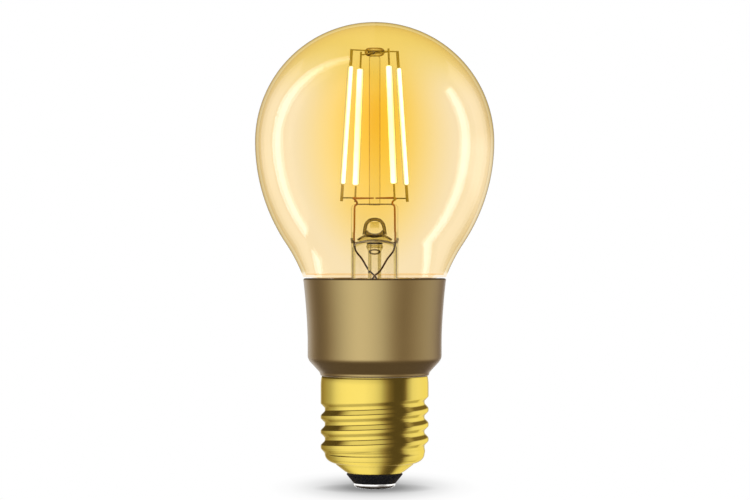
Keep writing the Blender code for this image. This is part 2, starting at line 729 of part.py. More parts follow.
def support_bead():
    """The glass bead on top of the rod, with the two top wires through it."""
    edge = BEAD_HEIGHT * 0.2
    profile = [
        (0, BEAD_TOP),
        (BEAD_RADIUS - edge, BEAD_TOP),
        (BEAD_RADIUS, BEAD_TOP - edge),
        (BEAD_RADIUS, BEAD_BOTTOM + edge),
        (BEAD_RADIUS - edge, BEAD_BOTTOM),
        (0, BEAD_BOTTOM),
    ]
    piece = turned("support_bead", profile, CLEAR_GLASS, steps=SMALL_STEPS, loop=False)
    for name, path in top_wire_paths().items():
        combine(piece, wire_cutter(name + "_hole", path, WIRE_RADIUS + WIRE_CLEARANCE))


# ---------------------------------------------------------------------------
# Filaments, wires and leads
# ---------------------------------------------------------------------------

FILAMENT_LEAN = atan2(FILAMENT_BOTTOM_RADIUS - FILAMENT_TOP_RADIUS, FILAMENT_LENGTH)
FILAMENTS = {
    "right_back": FILAMENT_TURN,
    "left_back": FILAMENT_TURN + pi / 2,
    "left_front": FILAMENT_TURN + pi,
    "right_front": FILAMENT_TURN - pi / 2,
}


def filament_radius(height):
    """How far a filament's centre line is from the bulb's axis at a height."""
    middle = (FILAMENT_TOP_RADIUS + FILAMENT_BOTTOM_RADIUS) / 2
    return middle - (height - FILAMENT_MIDDLE) * sin(FILAMENT_LEAN) / cos(FILAMENT_LEAN)


def beside_tab(angle, height):
    """The place where a wire ends, just inside a filament's tab."""
    radius = filament_radius(height) - TAB_WIDTH / 2 - CLEARANCE
    return Vector((radius * cos(angle), radius * sin(angle), height))


def filament(label, angle):
    """One LED filament and its two metal tabs, which lean in towards the top."""
    radius = filament_radius(FILAMENT_MIDDLE)
    frame = bpy.data.objects.new("filament_frame_" + label, None)
    frame.location = (radius * cos(angle), radius * sin(angle), FILAMENT_MIDDLE)
    frame.rotation_euler = (0, -FILAMENT_LEAN, angle)
    PARTS.objects.link(frame)
    length = FILAMENT_LENGTH / cos(FILAMENT_LEAN)
    reach = (TOP_WIRE_LEVEL - FILAMENT_MIDDLE + TAB_OVERRUN) / cos(FILAMENT_LEAN)
    size = (FILAMENT_WIDTH, FILAMENT_DEPTH, length)
    block("filament_" + label, (0, 0, 0), size, PHOSPHOR, bevel=FILAMENT_DEPTH * 0.25, parent=frame)
    tab_start = length / 2 + WIRE_CLEARANCE
    tab_size = (TAB_WIDTH, TAB_THICKNESS, reach - tab_start)
    for end, direction in (("top", 1), ("bottom", -1)):
        middle = direction * (tab_start + reach) / 2
        name = f"filament_tab_{label}_{end}"
        block(name, (0, 0, middle), tab_size, NICKEL_IRON, parent=frame)


def top_wire_paths():
    """The two straight wires that cross in the bead, each between opposite filaments."""
    paths = {}
    crossing = (
        ("top_wire_upper", FILAMENT_TURN, TOP_WIRE_LEVEL),
        ("top_wire_lower", FILAMENT_TURN + pi / 2, TOP_WIRE_LEVEL - WIRE_CROSSING),
    )
    for name, angle, level in crossing:
        paths[name] = [beside_tab(angle, level), beside_tab(angle + pi, level)]
    return paths


def bottom_wire(side, label):
    """A bent wire that joins the lower tabs of one side's two filaments past the glass rod."""
    inner = ROD_RADIUS + CLEARANCE + WIRE_RADIUS
    first = FILAMENT_TURN + (pi if side < 0 else 0)
    second = first - pi / 2
    between = first - pi / 4
    elbow = Vector((inner * cos(between), inner * sin(between), ARM_LEVEL))
    path = [beside_tab(first, ARM_LEVEL), elbow, beside_tab(second, ARM_LEVEL)]
    wire("bottom_wire_" + label, path, WIRE_RADIUS, COPPER)


def wires():
    for name, path in top_wire_paths().items():
        wire(name, path, WIRE_RADIUS, NICKEL_IRON)
    for side, label in ((-1, "left"), (1, "right")):
        bottom_wire(side, label)
        wire("lead_wire_" + label, lead_path(side), LEAD_RADIUS, COPPER)


# ---------------------------------------------------------------------------
# Driver board and radio module
# ---------------------------------------------------------------------------


def half_width(bore):
    """Half the width of a board that just fits a round bore at the board's setback."""
    return sqrt(bore**2 - BOARD_BACK**2) - CLEARANCE


def driver_board():
    """The T-shaped board: its foot slides into the liner, and its head fills the collar."""
    foot = half_width(LINER_BORE)
    head = half_width(CHAMBER_RADIUS)
    outline = [
        (-foot, BOARD_BOTTOM),
        (foot, BOARD_BOTTOM),
        (foot, BOARD_SHOULDER),
        (head, BOARD_SHOULDER),
        (head, BOARD_TOP),
        (-head, BOARD_TOP),
        (-head, BOARD_SHOULDER),
        (-foot, BOARD_SHOULDER),
    ]
    plate("driver_board", outline, BOARD_THICKNESS, BOARD_SETBACK, BOARD_GREEN)


def capacitor(name, radius, length, x, bottom, look):
    """A can capacitor that stands along the front of the board, with a crimp near its base."""
    top = bottom + length
    crimp = radius * 0.12
    profile = [
        (0, top),
        (radius - crimp, top),
        (radius, top - crimp),
        (radius, bottom + 4 * crimp),
        (radius - crimp, bottom + 3 * crimp),
        (radius, bottom + 2 * crimp),
        (radius, bottom + crimp),
        (radius - crimp, bottom),
        (0, bottom),
    ]
    centre = (x, BOARD_FRONT - CLEARANCE - radius)
    turned(name, profile, look, steps=SMALL_STEPS, centre=centre, loop=False)


def inductor(x, bottom):
    """A drum core on the front of the board, and the copper winding round it."""
    centre = (x, BOARD_FRONT - CLEARANCE - INDUCTOR_RADIUS)
    top = bottom + INDUCTOR_LENGTH
    core = [
        (0, top),
        (INDUCTOR_RADIUS, top),
        (INDUCTOR_RADIUS, top - INDUCTOR_FLANGE),
        (INDUCTOR_CORE_RADIUS, top - INDUCTOR_FLANGE),
        (INDUCTOR_CORE_RADIUS, bottom + INDUCTOR_FLANGE),
        (INDUCTOR_RADIUS, bottom + INDUCTOR_FLANGE),
        (INDUCTOR_RADIUS, bottom),
        (0, bottom),
    ]
    turned("inductor_core", core, FERRITE, steps=SMALL_STEPS, centre=centre, loop=False)
    outer = INDUCTOR_RADIUS - CLEARANCE
    inner = INDUCTOR_CORE_RADIUS + CLEARANCE
    low = bottom + INDUCTOR_FLANGE + CLEARANCE
    high = top - INDUCTOR_FLANGE - CLEARANCE
    winding = [(outer, high), (outer, low), (inner, low), (inner, high)]
    turned("inductor_winding", winding, COPPER, steps=SMALL_STEPS, centre=centre)


def on_back(name, x, bottom, size, look):
    """A flat part soldered to the back of the board."""
    y = BOARD_BACK + SOLDER_GAP + size[1] / 2
    block(name, (x, y, bottom + size[2] / 2), size, look, bevel=size[1] * 0.12)


def power_parts():
    """The parts that turn the mains into filament current."""
    foot = half_width(LINER_BORE)
    floor = BOARD_BOTTOM + PART_SPACING
    capacitor_x = PART_SPACING + INPUT_CAPACITOR_RADIUS
    capacitor(
        "input_capacitor", INPUT_CAPACITOR_RADIUS, INPUT_CAPACITOR_LENGTH, -capacitor_x, floor,
        CAN_SLEEVE,
    )
    inductor_x = PART_SPACING + INDUCTOR_RADIUS
    inductor(inductor_x, floor)
    upper_row = floor + INDUCTOR_LENGTH + PART_SPACING
    output_x = PART_SPACING + OUTPUT_CAPACITOR_RADIUS
    capacitor(
        "output_capacitor", OUTPUT_CAPACITOR_RADIUS, OUTPUT_CAPACITOR_LENGTH, output_x, upper_row,
        CAN_SLEEVE,
    )
    rectifier_x = PART_SPACING + RECTIFIER_SIZE[0] / 2
    on_back("bridge_rectifier", -rectifier_x, floor, RECTIFIER_SIZE, BLACK_PLASTIC)
    chip_x = PART_SPACING + DRIVER_CHIP_SIZE[0] / 2
    on_back("driver_chip", chip_x, floor, DRIVER_CHIP_SIZE, BLACK_PLASTIC)
    second_row = floor + max(RECTIFIER_SIZE[2], DRIVER_CHIP_SIZE[2]) + PART_SPACING
    regulator_x = PART_SPACING + REGULATOR_SIZE[0] / 2
    on_back("voltage_regulator", regulator_x, second_row, REGULATOR_SIZE, BLACK_PLASTIC)
    fuse_top = second_row + FUSE_LENGTH
    edge = FUSE_RADIUS * 0.15
    fuse = [
        (0, fuse_top),
        (FUSE_RADIUS - edge, fuse_top),
        (FUSE_RADIUS, fuse_top - edge),
        (FUSE_RADIUS, second_row + edge),
        (FUSE_RADIUS - edge, second_row),
        (0, second_row),
    ]
    centre = (-min(rectifier_x, foot), BOARD_BACK + SOLDER_GAP + FUSE_RADIUS)
    turned("fuse_resistor", fuse, RESISTOR_GREEN, steps=12, centre=centre, loop=False)


def radio_module():
    """The radio's own small board, which stands in front of the driver board on a pin header, with
    its shield can and the meander of its antenna."""
    width, thickness, height = MODULE_SIZE
    top = BOARD_TOP
    back = BOARD_FRONT - MODULE_STANDOFF
    front = back - thickness
    middle = back - thickness / 2
    block("radio_board", (0, middle, top - height / 2), MODULE_SIZE, BOARD_GREEN)
    header = (HEADER_SIZE[0], MODULE_STANDOFF - 2 * SOLDER_GAP, HEADER_SIZE[1])
    header_middle = (BOARD_FRONT + back) / 2
    header_level = top - height + PART_SPACING + HEADER_SIZE[1] / 2
    block("module_header", (0, header_middle, header_level), header, BLACK_PLASTIC)
    shield_level = top - height + PART_SPACING + SHIELD_SIZE[2] / 2
    shield_middle = front - SOLDER_GAP - SHIELD_SIZE[1] / 2
    bevel = SHIELD_SIZE[1] * 0.15
    place = (0, shield_middle, shield_level)
    block("radio_shield", place, SHIELD_SIZE, TINNED_METAL, bevel=bevel)
    antenna_y = front - SOLDER_GAP - ANTENNA_WIRE_RADIUS
    step = (SHIELD_SIZE[0] - PART_SPACING) / (2 * ANTENNA_FINGERS - 1)
    high = top - PART_SPACING
    path = []
    for i in range(2 * ANTENNA_FINGERS):
        x = (i - ANTENNA_FINGERS + 0.5) * step
        levels = (high - ANTENNA_HEIGHT, high)
        for level in levels if i % 2 else levels[::-1]:
            path.append((x, antenna_y, level))
    wire("radio_antenna", path, ANTENNA_WIRE_RADIUS, COPPER)


def supply_wires():
    """The live wire up from the contact, and the neutral wire out to the brass shell."""
    radius = SUPPLY_WIRE_RADIUS
    stem_top = SHELL_BOTTOM + INSULATOR_FLANGE + CLEARANCE
    front = BOARD_FRONT - SOLDER_GAP - radius
    start = stem_top + WIRE_CLEARANCE
    live = smooth_path(
        [
            (0, 0, start),
            (0, 0, (2 * start + BOARD_BOTTOM) / 3),
            (0, front * 0.8, BOARD_BOTTOM),
            (0, front, BOARD_BOTTOM + 4 * radius),
        ],
        steps=3,
    )
    wire("live_wire", live, radius, WIRE_BLACK)
    edge = half_width(LINER_BORE) - PART_SPACING - radius
    window = LINER_TOP + WIRE_WINDOW / 2
    shell_side = THREAD_CREST_RADIUS - SHELL_WALL - 2 * CLEARANCE
    neutral = smooth_path(
        [
            (edge, front, LINER_TOP - 6 * radius),
            (edge, front, LINER_TOP - 2 * radius),
            (edge + radius, front, window - radius / 2),
            (edge + 4 * radius, front, window),
            (shell_side, front, window),
        ],
        steps=3,
    )
    wire("neutral_wire", neutral, radius, WIRE_WHITE)


# ---------------------------------------------------------------------------
# Assembly, from the contact up
# ---------------------------------------------------------------------------

centre_contact()
contact_insulator()
screw_shell()
collar_housing()
driver_liner()
neck_cement()
glass_envelope()
glass_stem()
exhaust_tube()
support_rod()
support_bead()
for filament_label, filament_angle in FILAMENTS.items():
    filament(filament_label, filament_angle)
wires()
driver_board()
power_parts()
radio_module()
supply_wires()
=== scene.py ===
# %% [markdown]
# # A smart filament light bulb
#
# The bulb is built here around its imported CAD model. The frame comes first: it holds every solid
# of the bulb at its true place, in metres, with the centre contact's face at the origin and +Z up
# along the axis. Each new piece is drawn at the place of the solid that it stands for.

import json
from math import acos, asin, atan2, cos, degrees, hypot, pi, radians, sin, sqrt, tan

import bpy
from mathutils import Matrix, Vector

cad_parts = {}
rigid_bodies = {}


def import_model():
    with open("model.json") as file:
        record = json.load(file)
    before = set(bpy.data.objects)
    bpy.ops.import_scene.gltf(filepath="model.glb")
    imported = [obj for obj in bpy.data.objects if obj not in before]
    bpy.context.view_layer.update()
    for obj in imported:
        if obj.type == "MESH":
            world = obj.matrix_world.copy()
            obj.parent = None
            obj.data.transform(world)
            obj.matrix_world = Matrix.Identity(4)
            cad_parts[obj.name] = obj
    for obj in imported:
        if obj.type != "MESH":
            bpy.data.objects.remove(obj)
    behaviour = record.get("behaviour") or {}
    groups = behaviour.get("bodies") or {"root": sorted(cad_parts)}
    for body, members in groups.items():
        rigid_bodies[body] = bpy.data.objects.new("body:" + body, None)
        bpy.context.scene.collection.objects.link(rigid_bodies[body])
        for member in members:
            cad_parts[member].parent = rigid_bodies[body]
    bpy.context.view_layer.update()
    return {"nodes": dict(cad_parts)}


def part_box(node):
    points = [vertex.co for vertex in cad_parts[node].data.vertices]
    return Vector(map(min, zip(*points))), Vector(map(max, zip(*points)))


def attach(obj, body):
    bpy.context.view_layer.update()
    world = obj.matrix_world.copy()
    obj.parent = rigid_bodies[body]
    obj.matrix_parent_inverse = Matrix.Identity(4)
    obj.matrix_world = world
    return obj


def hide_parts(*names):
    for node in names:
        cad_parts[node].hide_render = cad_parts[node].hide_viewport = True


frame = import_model()
MM = 0.001

# %% [markdown]
# The camera stands level with the middle of the bulb, some way off. Its long lens keeps upright
# sides nearly parallel, which is how small products are usually shown.

# %% The camera
CAMERA_DISTANCE = 700
CAMERA_ACROSS, CAMERA_LEVEL = 0.086, 58.3
VIEW_WIDTH = 183.6
SENSOR_WIDTH = 36

scene = bpy.context.scene
scene.view_settings.view_transform = "Standard"
place = Vector((CAMERA_ACROSS, -CAMERA_DISTANCE, CAMERA_LEVEL)) * MM
bpy.ops.object.camera_add(location=place, rotation=(radians(90), 0, 0))
camera = bpy.context.object
camera.data.sensor_width = SENSOR_WIDTH
camera.data.lens = SENSOR_WIDTH * CAMERA_DISTANCE / VIEW_WIDTH
camera.data.clip_start = 0.01
scene.camera = camera
print("camera: lens", round(camera.data.lens, 1), "mm")

# %% [markdown]
# Shader maths reads best as ordinary sums. This small class wraps one socket, and each operator
# adds the Math node that does that sum. Everything else on a node sheet comes from one method,
# `Sheet.node`, which sets a node's own settings first and then fills or links its sockets. The
# short methods under it name the nodes that are used most.


# %% Node sheets and sums
def operator(operation, reflected=False):
    """An operator of a socket, as in mask - 1. A reflected one is as in 1 - mask."""

    def method(self, other):
        return self.sheet.sum(operation, *((other, self) if reflected else (self, other)))

    return method


class Socket:
    """One output of a node, which can be used in a sum."""

    def __init__(self, sheet, link):
        self.sheet, self.link = sheet, link

    __add__ = __radd__ = operator("ADD")
    __sub__, __rsub__ = operator("SUBTRACT"), operator("SUBTRACT", reflected=True)
    __mul__ = __rmul__ = operator("MULTIPLY")
    __truediv__, __rtruediv__ = operator("DIVIDE"), operator("DIVIDE", reflected=True)
    __pow__ = operator("POWER")

    def math(self, operation, *others):
        return self.sheet.sum(operation, self, *others)

    def __abs__(self):
        return self.math("ABSOLUTE")

    def clamp(self):
        return self.sheet.sum("ADD", self, 0, clamp=True)

    def between(self, low, high, start=0, end=1):
        """Goes smoothly from start to end while this value goes from low to high."""
        values = {"Value": self, "From Min": low, "From Max": high, "To Min": start, "To Max": end}
        return self.sheet.node("MapRange", values, interpolation_type="SMOOTHSTEP")


class Sheet:
    """The node sheet of a material or of the world."""

    def __init__(self, owner):
        owner.use_nodes = True
        self.owner, self.tree = owner, owner.node_tree
        self.tree.nodes.clear()

    def node(self, kind, sockets=None, out=None, **settings):
        """Make a ShaderNode of this kind. Its settings come first, and then its sockets."""
        made = self.tree.nodes.new("ShaderNode" + kind)
        for name, value in settings.items():
            if name == "stops":
                self.set_stops(made.color_ramp, value)
            else:
                setattr(made, name, value)
        for name, value in (sockets or {}).items():
            if isinstance(name, int):
                socket = made.inputs[name]
            else:
                socket = next(s for s in made.inputs if s.name == name and s.enabled)
            if isinstance(value, Socket):
                self.tree.links.new(value.link, socket)
            elif isinstance(value, tuple) and socket.type == "RGBA":
                socket.default_value = (*value, 1)
            else:
                socket.default_value = value
        outputs = [s for s in made.outputs if s.enabled and out in (None, s.name)]
        return Socket(self, outputs[0]) if outputs else None

    @staticmethod
    def set_stops(ramp, stops):
        while len(ramp.elements) < len(stops):
            ramp.elements.new(0.5)
        for element, (place, level) in zip(ramp.elements, stops):
            element.position = place
            element.color = (level, level, level, 1)

    def sum(self, operation, *values, clamp=False):
        return self.node("Math", dict(enumerate(values)), operation=operation, use_clamp=clamp)

    def xyz(self, vector):
        first = self.node("SeparateXYZ", {0: vector})
        return [Socket(self, part) for part in first.link.node.outputs]

    def graph(self, value, points):
        """Follows a graph of straight lines through (value, result) points."""
        low, high = points[0][0], points[-1][0]
        peak = max(result for _, result in points)
        stops = [((at - low) / (high - low), result / peak) for at, result in points]
        sockets = {"Fac": (value - low) / (high - low)}
        return self.node("ValToRGB", sockets, "Color", stops=stops) * peak

    def mix(self, share, first, second):
        """A colour between two others."""
        return self.node("Mix", {"Factor": share, "A": first, "B": second}, data_type="RGBA")

    def blend(self, share, first, second):
        """A shader between two others."""
        return self.node("MixShader", {0: share, 1: first, 2: second})

    def light_path(self, name):
        return self.node("LightPath", out=name)

    def place(self):
        """Where a point lies on its object, in metres."""
        return self.node("TexCoord", out="Object")

    def vector(self, operation, *values, out="Vector"):
        return self.node("VectorMath", dict(enumerate(values)), out, operation=operation)

    def cloud(self, scale, detail, place=None):
        """Soft noise from 0 to 1."""
        sockets = {"Vector": place or self.place(), "Scale": scale, "Detail": detail}
        return self.node("TexNoise", sockets, "Fac")

    def bump(self, strength, distance, height):
        """The normals of a fine relief. The distance is in millimetres."""
        sockets = {"Strength": strength, "Distance": distance * MM, "Height": height}
        return self.node("Bump", sockets)

    def facing(self, **sockets):
        """How far the surface is turned away, from 0 to 1."""
        return self.node("LayerWeight", {"Blend": 0.5, **sockets}, "Facing")

    def clear(self, colour):
        return self.node("BsdfTransparent", {"Color": colour})

    def surface(self, shader):
        self.node("OutputMaterial", {"Surface": shader})

    def principled(self, **sockets):
        """The shader for most things. Its sockets are named with _ for a space."""
        sockets = {name.replace("_", " "): value for name, value in sockets.items()}
        self.surface(self.node("BsdfPrincipled", sockets))


# %% [markdown]
# The studio around the bulb is plain white. Metal and glass show their surroundings, so mirrored
# rays find the room in shade instead, and the soft boxes are added to it piece by piece, as brass,
# painted metal and glass are lit one after another in a real studio. Rays from the camera, and
# those through clear glass, see plain white.

# %% The studio
SHADE = 0.1
SHADE_COLOUR = (1, 0.78, 0.64)
WHITE = (1, 1, 1)
world = bpy.data.worlds.new("studio")
scene.world = world
sky = Sheet(world)
mirrored = sky.light_path("Is Glossy Ray") * (1 - sky.light_path("Is Transmission Ray"))
sockets = {
    "Color": sky.mix(mirrored, WHITE, SHADE_COLOUR),
    "Strength": 1 + mirrored * (SHADE - 1),
}
sky.node("OutputWorld", {"Surface": sky.node("Background", sockets)})
world.cycles.sampling_method = "NONE"
print("studio: white, and shade for mirrored rays")

# %% [markdown]
# The floor is a broad white sheet with a soft dark shadow under the cap. The shadow is painted:
# the floor's white glow is dimmed by a graph of the distance from a point just behind the axis,
# stretched so that the painted shadow is longer from front to back. The Ambient Occlusion node
# adds the dark line right beside the contact.


# %% The floor
def new_material(name):
    return Sheet(bpy.data.materials.new(name))


def deselect():
    bpy.ops.object.select_all(action="DESELECT")


def named(name):
    """What was just added, with its name."""
    made = bpy.context.object
    made.name = made.data.name = name
    return made


FLOOR_WIDTH = 40  # metres, so that its edges are out of sight
SHADOW_BACK = 4 * MM
SHADOW_STRETCH = 0.486
# Painted shadow: how bright the floor is at each distance, in millimetres, from its middle.
PAINTED_SHADOW_FADE = [
    (0, 0.35), (3, 0.35), (4.4, 0.4), (5.5, 0.42), (6.7, 0.45), (8.5, 0.55), (10.2, 0.62),
    (12, 0.7), (13.8, 0.776), (16, 0.84), (18.6, 0.91), (21, 0.96), (26, 1),
]
deselect()
bpy.ops.mesh.primitive_grid_add(x_subdivisions=8, y_subdivisions=8, size=FLOOR_WIDTH)
floor = named("floor")
floor.visible_glossy = floor.visible_shadow = False
sheet = new_material("white_floor")
x, y, _ = sheet.xyz(sheet.place())
distance = (x**2 + ((y - SHADOW_BACK) * SHADOW_STRETCH) ** 2).math("SQRT") / MM
matte = sheet.node("BsdfDiffuse", {"Color": (0.95, 0.95, 0.95)})
open_sky = sheet.node("AmbientOcclusion", {"Distance": 8 * MM}, "AO", samples=16)
# The painted shadow, darkened further where the Ambient Occlusion node finds the contact close by.
painted_shadow = sheet.graph(distance, PAINTED_SHADOW_FADE) * (open_sky * 0.5 + 0.5)
white = sheet.node("Emission", {"Color": WHITE, "Strength": painted_shadow})
seen = sheet.light_path("Is Camera Ray").math("MAXIMUM", sheet.light_path("Is Transmission Ray"))
sheet.surface(sheet.blend(seen, matte, white))
floor.data.materials.append(sheet.owner)
print("the floor is in place")

# %% [markdown]
# The soft boxes for one finish are drawn on a large sphere round the bulb. It glows only for the
# piece that it is linked to, and every other ray goes straight through it. What is drawn depends
# on the direction alone.


# %% Surroundings for one finish
def directions(sheet, outward):
    """Azimuth from the front, to the right, and elevation, both in degrees."""
    east, north, up = sheet.xyz(outward)
    azimuth = sheet.sum("ARCTAN2", east, 0 - north) * degrees(1)
    return azimuth, up.math("ARCSINE") * degrees(1)


def slopes(sheet, outward):
    """Which way a mirror faces, sideways and upwards, if it shows this direction to the front.

    Also how far the direction is straight behind, where no side can be told.
    """
    east, north, up = sheet.xyz(outward)
    side = sheet.sum("ARCTAN2", east, 1 - north) * degrees(1)
    reach = (2 - north * 2).math("MAXIMUM", 0.01).math("SQRT")
    slope = (up / reach).math("ARCSINE") * degrees(1)
    low_behind = north.between(0.75, 0.9) * up.between(-0.2, 0, 1, 0)
    slope = slope * (north.between(0.95, 0.995, 1, 0) * (1 - low_behind))
    return side, slope, north.between(0.86, 0.98)


def surroundings(name, radius, light, full_colour, piece):
    """A glowing sphere for one piece. It is warm where it is dim, up to full_colour."""
    bpy.ops.mesh.primitive_uv_sphere_add(segments=48, ring_count=24, radius=radius)
    sphere = named(name)
    for ray in ("camera", "diffuse", "transmission", "volume_scatter", "shadow"):
        setattr(sphere, "visible_" + ray, False)
    glow = new_material(name + "_glow")
    bright = light(glow, glow.vector("NORMALIZE", glow.place()))
    colour = glow.mix(bright.between(SHADE, full_colour), SHADE_COLOUR, WHITE)
    sockets = {"Color": colour, "Strength": (bright - SHADE).math("MAXIMUM", 0)}
    shine = glow.node("Emission", sockets)
    glow.surface(glow.node("AddShader", {0: shine, 1: glow.clear(WHITE)}))
    glow.owner.cycles.emission_sampling = "NONE"
    sphere.data.materials.append(glow.owner)
    lit = bpy.data.collections.new(name + "_pieces")
    lit.objects.link(piece)
    sphere.light_linking.receiver_collection = lit
    print(name, "glows for", piece.name)
    return lit


# %% [markdown]
# Nearly every part of a bulb is round, so most pieces are turned like pots: a line is drawn beside
# the axis by extruding one point from place to place, and the Spin tool carries that line round.
# The points are given in millimetres, as (radius, height).


# %% Drawing and turning
CLOSE = 0.002 * MM


def mode(name):
    bpy.ops.object.mode_set(mode=name)


def draw_line(name, points):
    """A line through places in millimetres, left in edit mode."""
    deselect()
    start, *others = [Vector(p) * MM for p in points]
    bpy.ops.mesh.primitive_plane_add(size=MM, location=(0, 0, 0))
    piece = named(name)
    mode("EDIT")
    bpy.ops.mesh.merge(type="CENTER")
    bpy.ops.transform.translate(value=start)
    for place in others:
        bpy.ops.mesh.extrude_region_move(TRANSFORM_OT_translate={"value": place - start})
        start = place
    return piece


def tidy(angle=35):
    """Merge what coincides, turn the faces outwards and shade the piece."""
    bpy.ops.mesh.select_all(action="SELECT")
    bpy.ops.mesh.remove_doubles(threshold=CLOSE)
    bpy.ops.mesh.normals_make_consistent(inside=False)
    mode("OBJECT")
    bpy.ops.object.shade_smooth_by_angle(angle=radians(angle))


def turned(name, profile, steps=96, angle=35, closed=False):
    """Turn a profile of (radius, height) about the axis. A closed profile is a ring's section."""
    points = [(r, 0, z) for r, z in profile]
    if closed:
        points.append(points[0])
    piece = draw_line(name, points)
    bpy.ops.mesh.select_all(action="SELECT")
    bpy.ops.mesh.spin(steps=steps, angle=2 * pi, center=(0, 0, 0), axis=(0, 0, 1))
    tidy(angle)
    return piece


def choose(*pieces):
    """Select these pieces alone. The last one is the active one."""
    deselect()
    for piece in pieces:
        piece.select_set(True)
    bpy.context.view_layer.objects.active = pieces[-1]


def fix_place(piece):
    """Move a piece's place and turn into its mesh, so that the object sits at the origin."""
    choose(piece)
    bpy.ops.object.transform_apply(location=True, rotation=True, scale=True)


def modify(piece, kind, **settings):
    """Add a modifier, set it and apply it."""
    bpy.context.view_layer.objects.active = piece
    modifier = piece.modifiers.new(kind.title(), kind)
    for name, value in settings.items():
        setattr(modifier, name, value)
    bpy.ops.object.modifier_apply(modifier=modifier.name)


def add_wall(piece, thickness):
    """Make a wall of even thickness, inwards from the surface, in millimetres."""
    modify(piece, "SOLIDIFY", thickness=thickness * MM, offset=-1, use_even_offset=True)


def arc(centre, radius, start, end, steps):
    """Points on a circle, from one angle to the other."""
    turns = [start + (end - start) * i / steps for i in range(steps + 1)]
    return [(centre[0] + radius * cos(a), centre[1] + radius * sin(a)) for a in turns]


def finish(piece, sheet, slot, *nodes):
    """Give a piece its material, attach it to the root and hide the solids it stands for."""
    piece.data.materials.clear()
    piece.data.materials.append(sheet.owner)
    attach(piece, "root")
    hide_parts(*nodes)
    print(piece.name, "has", len(piece.data.polygons), "faces")


def span(node):
    """The lowest and highest corners of a solid, in millimetres."""
    return [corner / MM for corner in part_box(node)]


# %% [markdown]
# Wires and ridges of glass are drawn as lines, smoothed, and given their thickness as curves with
# a round bevel.


# %% Drawing a round bar
def smooth_path(points, steps):
    """A smooth line through the points (Catmull-Rom)."""
    points = [Vector(p) for p in points]
    ends = [2 * points[0] - points[1], *points, 2 * points[-1] - points[-2]]
    path = []
    for a, b, c, d in zip(ends, ends[1:], ends[2:], ends[3:]):
        for i in range(steps):
            t = i / steps
            bend = (2 * a - 5 * b + 4 * c - d) * t * t + (3 * b - a - 3 * c + d) * t * t * t
            path.append((2 * b + (c - a) * t + bend) / 2)
    return [*path, points[-1]]


def wire(name, path, radius):
    """A round wire along a path in millimetres, with closed ends."""
    draw_line(name, path)
    mode("OBJECT")
    bpy.ops.object.convert(target="CURVE")
    curve = bpy.context.object.data
    curve.bevel_depth = radius * MM
    curve.bevel_resolution = 3
    curve.use_fill_caps = True
    bpy.ops.object.convert(target="MESH")
    mode("EDIT")
    tidy(60)
    return bpy.context.object


# %% [markdown]
# ## The amber glass
#
# The envelope is blown glass, 0.8 mm thick: a round dome, a flatter belly, and a hollow curve in
# to the neck, which goes down inside the collar. Two circles that touch each other give the belly
# and the hollow curve, so the join has no crease. The line is turned and then given its wall.

# %% The shape of the glass
low, high = span("glass_envelope")
BULB_RADIUS = high.x
DOME_CENTRE = high.z - BULB_RADIUS
NECK_BOTTOM = low.z
BELLY_RADIUS = 44.8
HOLLOW_RADIUS = 40
GLASS_SEAT = 51.7
RIM_RADIUS = 17.5
NECK_RADIUS = 14.7
NECK_FILLET = 1
GLASS_WALL = 0.8


def hollow_centre(belly):
    """The centre of the hollow curve, which touches the belly and ends at the collar's rim."""
    across, down = RIM_RADIUS - belly[0], GLASS_SEAT - belly[1]
    reach = hypot(across, down)
    centres = BELLY_RADIUS + HOLLOW_RADIUS
    along = (centres**2 - HOLLOW_RADIUS**2 + reach**2) / (2 * reach)
    aside = sqrt(centres**2 - along**2)
    across, down = across / reach, down / reach
    return belly[0] + along * across - aside * down, belly[1] + along * down + aside * across


belly = (BULB_RADIUS - BELLY_RADIUS, DOME_CENTRE)
hollow = hollow_centre(belly)
tilt = acos((hollow[0] - belly[0]) / (BELLY_RADIUS + HOLLOW_RADIUS))
drop = asin((GLASS_SEAT - hollow[1]) / HOLLOW_RADIUS)
outline = arc((0, DOME_CENTRE), BULB_RADIUS, pi / 2, 0, 80)
outline += arc(belly, BELLY_RADIUS, 0, -tilt, 32)[1:]
outline += arc(hollow, HOLLOW_RADIUS, pi - tilt, pi - drop, 36)[1:]
fillet_centre = (NECK_RADIUS + NECK_FILLET, GLASS_SEAT - NECK_FILLET)
outline += arc(fillet_centre, NECK_FILLET, pi / 2, pi, 6)
outline.append((NECK_RADIUS, NECK_BOTTOM))
bulb_glass = turned("bulb_glass", outline, steps=128)
add_wall(bulb_glass, GLASS_WALL)
print("glass:", len(outline), "points in its outline")

# %% [markdown]
# Amber glass colours what is seen through it and mirrors a little of the room, most of all at its
# edges. The wall is so thin that bending light can be left out, so the shader mixes clear tints
# with a mirror. The glow that the lit filaments spread through the middle of the bulb is painted
# into the glass as a deeper amber tint.
#
# A normal is turned to whoever sees it, so on the near wall it points out of the bulb and on the
# far wall into it. That tells the two walls apart, and with the Backfacing output also the outside
# of the wall from its inside. The dark outline is drawn on the outside alone, and the far wall
# mirrors little.

# %% The amber glass material
PAINTED_GLOW_LEVEL = 90 * MM
PAINTED_GLOW_STRETCH = 0.42
PAINTED_GLOW_SPREAD = 0.72
CROWN = (94 * MM, 113.2 * MM)

amber = new_material("amber_glass")
facing = amber.facing()
x, y, z = amber.xyz(amber.place())
